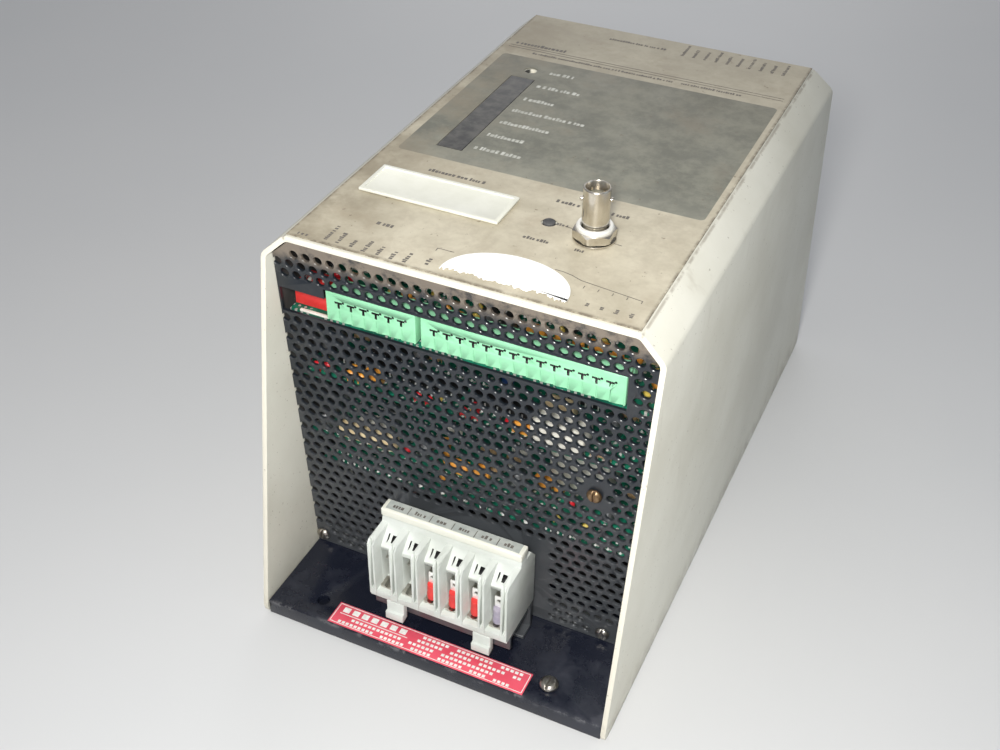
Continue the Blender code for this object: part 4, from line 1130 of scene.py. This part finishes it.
# %% Marker strip
strip_low, strip_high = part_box("marker_strip")
stand_in(smooth(eased(merged_copy("marker_strip", "marker_rail"), 0.25 * MM)), "marker_strip")
CARD_HALF, CARD_FRONT, CARD_REAR = 4.72 * MM, 1.1 * MM, 0.5 * MM
card_y = (strip_low.y + CARD_FRONT, strip_high.y - CARD_REAR)
card_z = (strip_high.z - 0.2 * MM, strip_high.z + 0.12 * MM)
cards, marks = [], []
for x in CHANNELS:
    cards.append(box("card", (x - CARD_HALF, x + CARD_HALF), card_y, card_z, 0.05 * MM))
    marks += ink_row((x - 2.2 * MM, card_y[0] + 1.2 * MM), 4.6 * MM, 1.9 * MM, card_z[1])
    edge = x + POLE_PITCH / 2
    if x != CHANNELS[-1]:
        marks.append(ink_line((edge, card_y[0]), (edge, card_y[1] - 1 * MM), 0.35 * MM, card_z[1]))
extra(joined("marker_cards", cards), "card_grey")
extra(joined("marker_bars", marks), "grey_ink")
print("cards:", len(cards), "marks:", len(marks))

# %% [markdown]
# ## Behind the holes
# Most of what the eye reads through the perforation is small, bright and on the boards: solder
# joints, tantalum beads, film and ceramic capacitors, resistors, relays and chips. Each kind is
# modelled once, standing at the origin, and copied to its places. What shows in a particular spot
# is listed in a short table for each board, and the rest of the board is filled in rows,
# from a seeded generator, round what is already there.


# %% The kinds of component
def bead(name, radius, height):
    """A dipped bead on two short legs, flattened as they are."""
    bpy.ops.object.select_all(action="DESELECT")
    middle = (0, 0, 0.8 * MM + height / 2)
    bpy.ops.mesh.primitive_uv_sphere_add(segments=10, ring_count=7, radius=radius, location=middle)
    bpy.ops.transform.resize(value=(1, 0.55, height / (2 * radius)), center_override=middle)
    body = smooth(settled(bpy.context.object, name), 60)
    legs = [rod("leg", (side * radius * 0.5, 0, 0.7 * MM), 0.25 * MM, 1.6 * MM, 6) for side in (-1, 1)]
    return joined(name, [body, *legs])


def can(name, radius, height):
    """An electrolytic can: a sleeve with a rolled top edge and a pressed lid."""
    profile = [
        (radius * 0.93, 0.15 * MM), (radius, 0.15 * MM + 0.3 * MM), (radius, height - 0.5 * MM),
        (radius * 0.9, height), (radius * 0.8, height - 0.15 * MM),
    ]
    return turned(name, (0, 0), profile, 18)


def resistor(name, length, radius):
    """A resistor lying on its board, thicker at its ends, with bent leads."""
    lift = radius + 0.2 * MM
    half = [
        (radius * 0.75, length / 2), (radius, length / 2 - 0.25 * MM), (radius, length / 4),
        (radius * 0.86, length / 5),
    ]
    profile = [(reach, -height) for reach, height in half] + half[::-1]
    body = turned(name, (0, 0), profile, 8)
    body.data.transform(Matrix.Translation((0, 0, lift)) @ Matrix.Rotation(math.pi / 2, 4, "Y"))
    wire = 0.28 * MM
    ends = [(side * (length / 2 + 0.7 * MM), 0, lift / 2) for side in (-1, 1)]
    leads = [rod("lead", end, wire, lift + 0.3 * MM, 6) for end in ends]
    bars = rod("bar", (0, 0, lift), wire, length + 1.6 * MM, 6, (0, math.pi / 2, 0))
    return joined(name, [body, bars, *leads])


def chip(name, pins, width):
    """The body of a dual-in-line chip, with a notch at one end; chip_legs makes its legs down both sides.
    """
    length = pins * 2.54 * MM
    body = box(name, (-length / 2, length / 2), (-width / 2, width / 2), (0.5 * MM, 3.6 * MM), 0.25 * MM)
    notch = rod("notch", (-length / 2, 0, 3.6 * MM), 0.8 * MM, 0.8 * MM, 10)
    return drilled(body, notch)


def chip_legs(name, pins, width):
    legs = []
    for pin in range(pins):
        x = (pin - (pins - 1) / 2) * 2.54 * MM
        for side in (-1, 1):
            y = side * (width / 2 + 0.15 * MM)
            y_limits = sorted((y, y - side * 0.25 * MM))
            legs.append(box("leg", (x - 0.3 * MM, x + 0.3 * MM), y_limits, (0, 2.2 * MM)))
    return joined(name, legs)


def joints(name, count, pitch, radius=0.55 * MM):
    """A row of solder cones along X, as a pin header or a soldered component shows on its board."""
    cones = []
    for number in range(count):
        bpy.ops.object.select_all(action="DESELECT")
        place = ((number - (count - 1) / 2) * pitch, 0, 0.35 * MM)
        size = {"radius1": radius * 1.3, "radius2": radius * 0.4, "depth": 0.9 * MM}
        bpy.ops.mesh.primitive_cone_add(vertices=7, location=place, **size)
        cones.append(settled(bpy.context.object, "cone"))
    return smooth(joined(name, cones), 50)


def slab(name, length, depth, height, ease=0.3 * MM):
    """A boxed component, such as a film capacitor or a cement resistor, with a dished top."""
    piece = box(name, (-length / 2, length / 2), (-depth / 2, depth / 2), (0.1 * MM, height), ease)
    return smooth(dished(piece, height, min(length, depth) * 0.14, 0.2 * MM))


KIND_TABLE = [
    # name, maker, its sizes, finish, room across and along in millimetres
    ("amber_bead", bead, (2.4 * MM, 4.6 * MM), "amber", (5.0, 3.0)),
    ("red_bead", bead, (2.2 * MM, 4.2 * MM), "crimson", (4.6, 3.0)),
    ("yellow_bead", bead, (1.8 * MM, 3.6 * MM), "yellow", (4.0, 2.6)),
    ("blue_can", can, (2.6 * MM, 7.0 * MM), "blue_sleeve", (5.4, 5.4)),
    ("silver_can", can, (3.2 * MM, 8.0 * MM), "aluminium", (6.6, 6.6)),
    ("tan_resistor", resistor, (6.4 * MM, 1.2 * MM), "tan", (9.0, 3.0)),
    ("pale_resistor", resistor, (6.4 * MM, 1.2 * MM), "ceramic", (9.0, 3.0)),
    ("chip", chip, (7, 6.6 * MM), "black_plastic", (18.4, 8.4)),
    ("long_chip", chip, (10, 6.6 * MM), "black_plastic", (26.0, 8.4)),
    ("chip_legs", chip_legs, (7, 6.6 * MM), "tin", (18.4, 8.4)),
    ("long_chip_legs", chip_legs, (10, 6.6 * MM), "tin", (26.0, 8.4)),
    ("joints", joints, (6, 2.54 * MM), "tin", (15.5, 2.4)),
    ("close_joints", joints, (10, 2.54 * MM), "tin", (25.5, 2.4)),
    ("white_block", slab, (14 * MM, 6.5 * MM, 5.0 * MM), "ceramic", (14.4, 7.0)),
    ("pale_block", slab, (12 * MM, 5.0 * MM, 6.0 * MM), "wax", (12.4, 5.4)),
    ("orange_block", slab, (7.2 * MM, 3.4 * MM, 5.4 * MM), "amber", (7.6, 3.8)),
    ("post_joints", joints, (6, POLE_PITCH, 1.5 * MM), "tin", (52.0, 4.0)),
    ("cement_block", slab, (21 * MM, 9.5 * MM, 9.0 * MM, 0.5 * MM), "ceramic", (21.6, 10)),
]
KINDS = {}
for name, maker, sizes, finish, room in KIND_TABLE:
    KINDS[name] = (maker(name, *sizes), finish, room)
print("kinds:", len(KINDS))

# %% [markdown]
# ## Laying out the boards
# A board's table lists the kind, the place across and the distance behind the panel, in
# millimetres. The filler then walks the rest of the board in rows and takes a spot only where
# nothing stands yet. A narrow lower board shows under the three CAD boards. It carries the terminal
# block's solder joints and lies on the block's rear end.

# %% Tables of what shows
CONTROL_SPOTS = {
    "amber_bead": [
        (26, 20.5), (31.5, 20.2), (37, 20.5), (43, 20.2), (48.5, 20.5), (54, 20.2), (28, 24.5),
        (35, 24), (50, 24), (57, 24.5), (-29, 20.5), (-34, 24), (-16.5, 22), (-10, 20.5),
        (68, 14.5),
    ],
    "orange_block": [(19, 24), (42.5, 24.5)],
    "yellow_bead": [(-46, 20.3), (-40, 23.5), (-23, 20.2), (-5, 23), (66.5, 9), (66, 21)],
    "silver_can": [(1, 22), (9, 22)],
    "pale_resistor": [(-56, 22.5)],
    "red_bead": [(-62, 19.5), (-67, 18), (-58, 25.5), (-64.5, 24)],
    "pale_block": [(62, 30)],
}
PROCESSOR_SPOTS = {
    "red_bead": [(-65, 4.5), (-61.5, 6), (-21.5, 4), (-17, 5), (-2.5, 4), (2.3, 5), (1, 9), (16, 6.5)],
    "yellow_bead": [(-64.5, 10.5), (-14, 8), (1.5, 6)],
    "amber_bead": [(-50.5, 4), (-46, 5), (-51, 9)],
    "orange_block": [(-42, 9), (21, 6.5)],
    "blue_can": [(4, 31)],
    "pale_block": [(29.5, 22.5)],
    "cement_block": [(35.5, 5.5)],
    "long_chip": [(-20, 16), (9, 16.5), (-49.5, 17)],
    "chip": [(34, 33)],
    "silver_can": [(-66.5, 16), (-66.5, 24)],
    "joints": [(-20, 10.8), (9, 11)],
}
POWER_SPOTS = {
    "pale_block": [(-52.5, 6.5), (-39.5, 6.5)],
    "white_block": [(-46.5, 13)],
    "joints": [(-58, 4.2), (-42, 4.2)],
    "amber_bead": [(-14, 11), (-10.5, 6), (-16, 16), (34.5, 10)],
    "orange_block": [(-5, 4.5), (3.5, 6.5), (27.5, 12)],
    "red_bead": [(41, 5), (-28.5, 6)],
    "silver_can": [(18, 8), (-22, 9), (-66, 7), (-66.5, 15), (-65.5, 23), (-66.5, 31)],
    "pale_resistor": [(14, 15)],
}
LOWER_SPOTS = {
    "post_joints": [(0, 5)],
    "joints": [(-52, 4), (-36, 4.6), (38, 4.2), (56, 4.4), (-57.5, 8.5), (-40, 9), (58, 9)],
    "amber_bead": [(-16.5, 9.5)],
    "yellow_bead": [(34, 9), (46, 9)],
    "close_joints": [(8, 9.5)],
}
LOWER_BOARD = (Vector((-0.067, -0.1010, 0.0558)), Vector((0.067, -0.0901, 0.0574)))
EVERY = ["tan_resistor", "pale_resistor", "joints", "joints", "close_joints", "chip", "yellow_bead"]
EVERY += ["silver_can", "joints"]
LOW = ["tan_resistor", "joints", "close_joints", "pale_resistor", "joints"]
BOARDS = {
    # board: its limits, its table, depth of the front rows in mm, number of rear rows, the filler's kinds
    "control_board": (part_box("control_board"), CONTROL_SPOTS, 36, 7, EVERY),
    "processor_board": (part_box("processor_board"), PROCESSOR_SPOTS, 60, 7, EVERY),
    "power_board": (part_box("power_board"), POWER_SPOTS, 60, 7, EVERY),
    "lower_board": (LOWER_BOARD, LOWER_SPOTS, 10, 0, LOW),
}
FILLED_HALF = 66

lower_low, lower_high = LOWER_BOARD
limits = [(lower_low[axis], lower_high[axis]) for axis in range(3)]
extra(box("lower_board", *limits, 0.15 * MM), "green_board")
print("boards:", len(BOARDS))

# %% Populate
layout = random.Random(29)
ROW_STEP, TALLEST = 5, 9 * MM
placed = {kind: [] for kind in KINDS}


def taken(x, y, reach, spots):
    """True when a component of this reach at x, y would overlap one of the spots."""
    wide, deep = reach
    return any(abs(x - a) < (wide + u) / 2 and abs(y - b) < (deep + v) / 2 for a, b, (u, v) in spots)


def panel_back(z):
    """Y of the panel's outer face at this height."""
    return FRONT_EDGE + PANEL_FOOT_BACK - (z - PANEL_FOOT) * math.tan(PANEL_LEAN)


for node, ((low, high), spots, reach_back, rear_rows, fillers) in BOARDS.items():
    face = panel_back(high.z)
    filled = []
    for other in frame["nodes"]:
        a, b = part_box(other)
        if other not in BOARDS and a.z < high.z + TALLEST and b.z > high.z + 0.1 * MM:
            middle, span = (a + b) / 2, b - a
            if span.x < 0.1 and span.y < 0.1:
                filled.append((middle.x / MM, middle.y / MM, (span.x / MM + 0.8, span.y / MM + 0.8)))
    obstacles = len(filled)
    for kind, x, distance in [(kind, *place) for kind, places in spots.items() for place in places]:
        reach = KINDS[kind][2]
        y = max(face / MM + distance, low.y / MM + reach[1] / 2 + 0.3)
        if taken(x, y, (reach[0] * 0.8, reach[1] * 0.8), filled[:obstacles]):
            print("no room:", node, kind, x, distance)
            continue
        placed[kind].append((x * MM, y * MM, high.z))
        filled.append((x, y, reach))
    for end in ("front", "rear"):
        y = low.y / MM + 2.5 if end == "front" else high.y / MM - 2.5
        for row in range(reach_back // ROW_STEP if end == "front" else rear_rows):
            x = layout.uniform(0, 4) - FILLED_HALF
            while x < FILLED_HALF:
                kind = layout.choice(fillers)
                reach = KINDS[kind][2]
                at = x + reach[0] / 2
                clear = reach[1] / 2 + 0.3
                row_y = min(max(y, low.y / MM + clear), high.y / MM - clear)
                if at + reach[0] / 2 < FILLED_HALF and not taken(at, row_y, reach, filled):
                    placed[kind].append((at * MM, row_y * MM, high.z))
                    filled.append((at, row_y, reach))
                x += reach[0] + layout.uniform(0.5, 3)
            y += ROW_STEP if end == "front" else -ROW_STEP
placed["chip_legs"] += placed["chip"]
placed["long_chip_legs"] += placed["long_chip"]
for kind, (model, finish, _) in KINDS.items():
    if placed[kind]:
        extra(joined(f"{kind}_set", [copied(model, place) for place in placed[kind]]), finish)
    bpy.data.objects.remove(model)
print("components:", {kind: len(places) for kind, places in placed.items()})

# %% [markdown]
# ## Small things by the slot
# A white strip lies on the control board at the foot of the red switch. It is added last because it
# fits between pieces that are already there.

# %% Strip at the switch
control_low, control_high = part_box("control_board")
switch_low, switch_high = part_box("switch_body")
strip_x = (switch_low.x + 4 * MM, switch_high.x)
strip_y = (control_low.y - 0.3 * MM, control_low.y + 0.9 * MM)
strip_z = (control_high.z, control_high.z + 0.9 * MM)
extra(box("switch_strip", strip_x, strip_y, strip_z, 0.2 * MM), "ceramic")
print("strip length, mm:", round((strip_x[1] - strip_x[0]) / MM, 1))

# %% [markdown]
# ## Camera, light and floor
# The camera stands to the right of the terminal end and looks down on it. A small lamp just beside
# the lens reaches through the perforation to what stands behind it. A wide lamp overhead, one low
# behind and a weak cool one at the right soften the shadows, and the world is a pale grey.

# %% Camera
CAMERA_AT = (0.16108, -0.42744, 0.40750)
CAMERA_TURN = tuple(math.radians(angle) for angle in (51.98372, -0.67147, 25.05849))
camera = bpy.data.objects.new("camera", bpy.data.cameras.new("camera"))
camera.data.lens, camera.data.sensor_width = 46.062, 36.0
camera.location, camera.rotation_euler = CAMERA_AT, CAMERA_TURN
bpy.context.scene.collection.objects.link(camera)
bpy.context.scene.camera = camera
print("camera lens, mm:", camera.data.lens)


# %% Lamps, world and floor
def lamp(name, place, aim, size, power, colour=(1, 1, 1)):
    light = bpy.data.objects.new(name, bpy.data.lights.new(name, "AREA"))
    light.data.shape, light.data.size = "DISK", size
    light.data.energy, light.data.color = power, colour
    light.location = place
    light.rotation_euler = (Vector(aim) - Vector(place)).to_track_quat("-Z", "Y").to_euler()
    bpy.context.scene.collection.objects.link(light)
    return light


lamp("key", (0.142, -0.455, 0.442), (0, -0.06, 0.11), 0.08, 3.5, (1.0, 0.985, 0.95))
lamp("overhead", (-0.30, -0.15, 1.10), (0, 0, 0.1), 0.9, 1.5)
lamp("rear_fill", (-0.45, 1.25, 0.40), (0, 0, 0.1), 0.9, 3.2)
lamp("side_fill", (1.1, 0.0, 0.50), (0, 0, 0.08), 0.8, 0.7, (0.70, 0.86, 1.0))

world = bpy.data.worlds.new("pale_room")
world.use_nodes = True
world.node_tree.nodes["Background"].inputs["Color"].default_value = (0.93, 0.95, 1.0, 1.0)
world.node_tree.nodes["Background"].inputs["Strength"].default_value = 0.31
bpy.context.scene.world = world
bpy.context.scene.view_settings.view_transform = "Standard"

bpy.ops.object.select_all(action="DESELECT")
bpy.ops.mesh.primitive_plane_add(size=12, location=(0, 0, -0.0004))
floor = bpy.context.object
floor.name = "floor"
ground = Finish("floor_paint")
ground.set(base_color=ground.mix(ground.noise(4, 4), (0.60, 0.61, 0.62), (0.66, 0.66, 0.66)), roughness=0.6)
floor.data.materials.append(ground.material)
print("lamps:", len(bpy.data.lights))
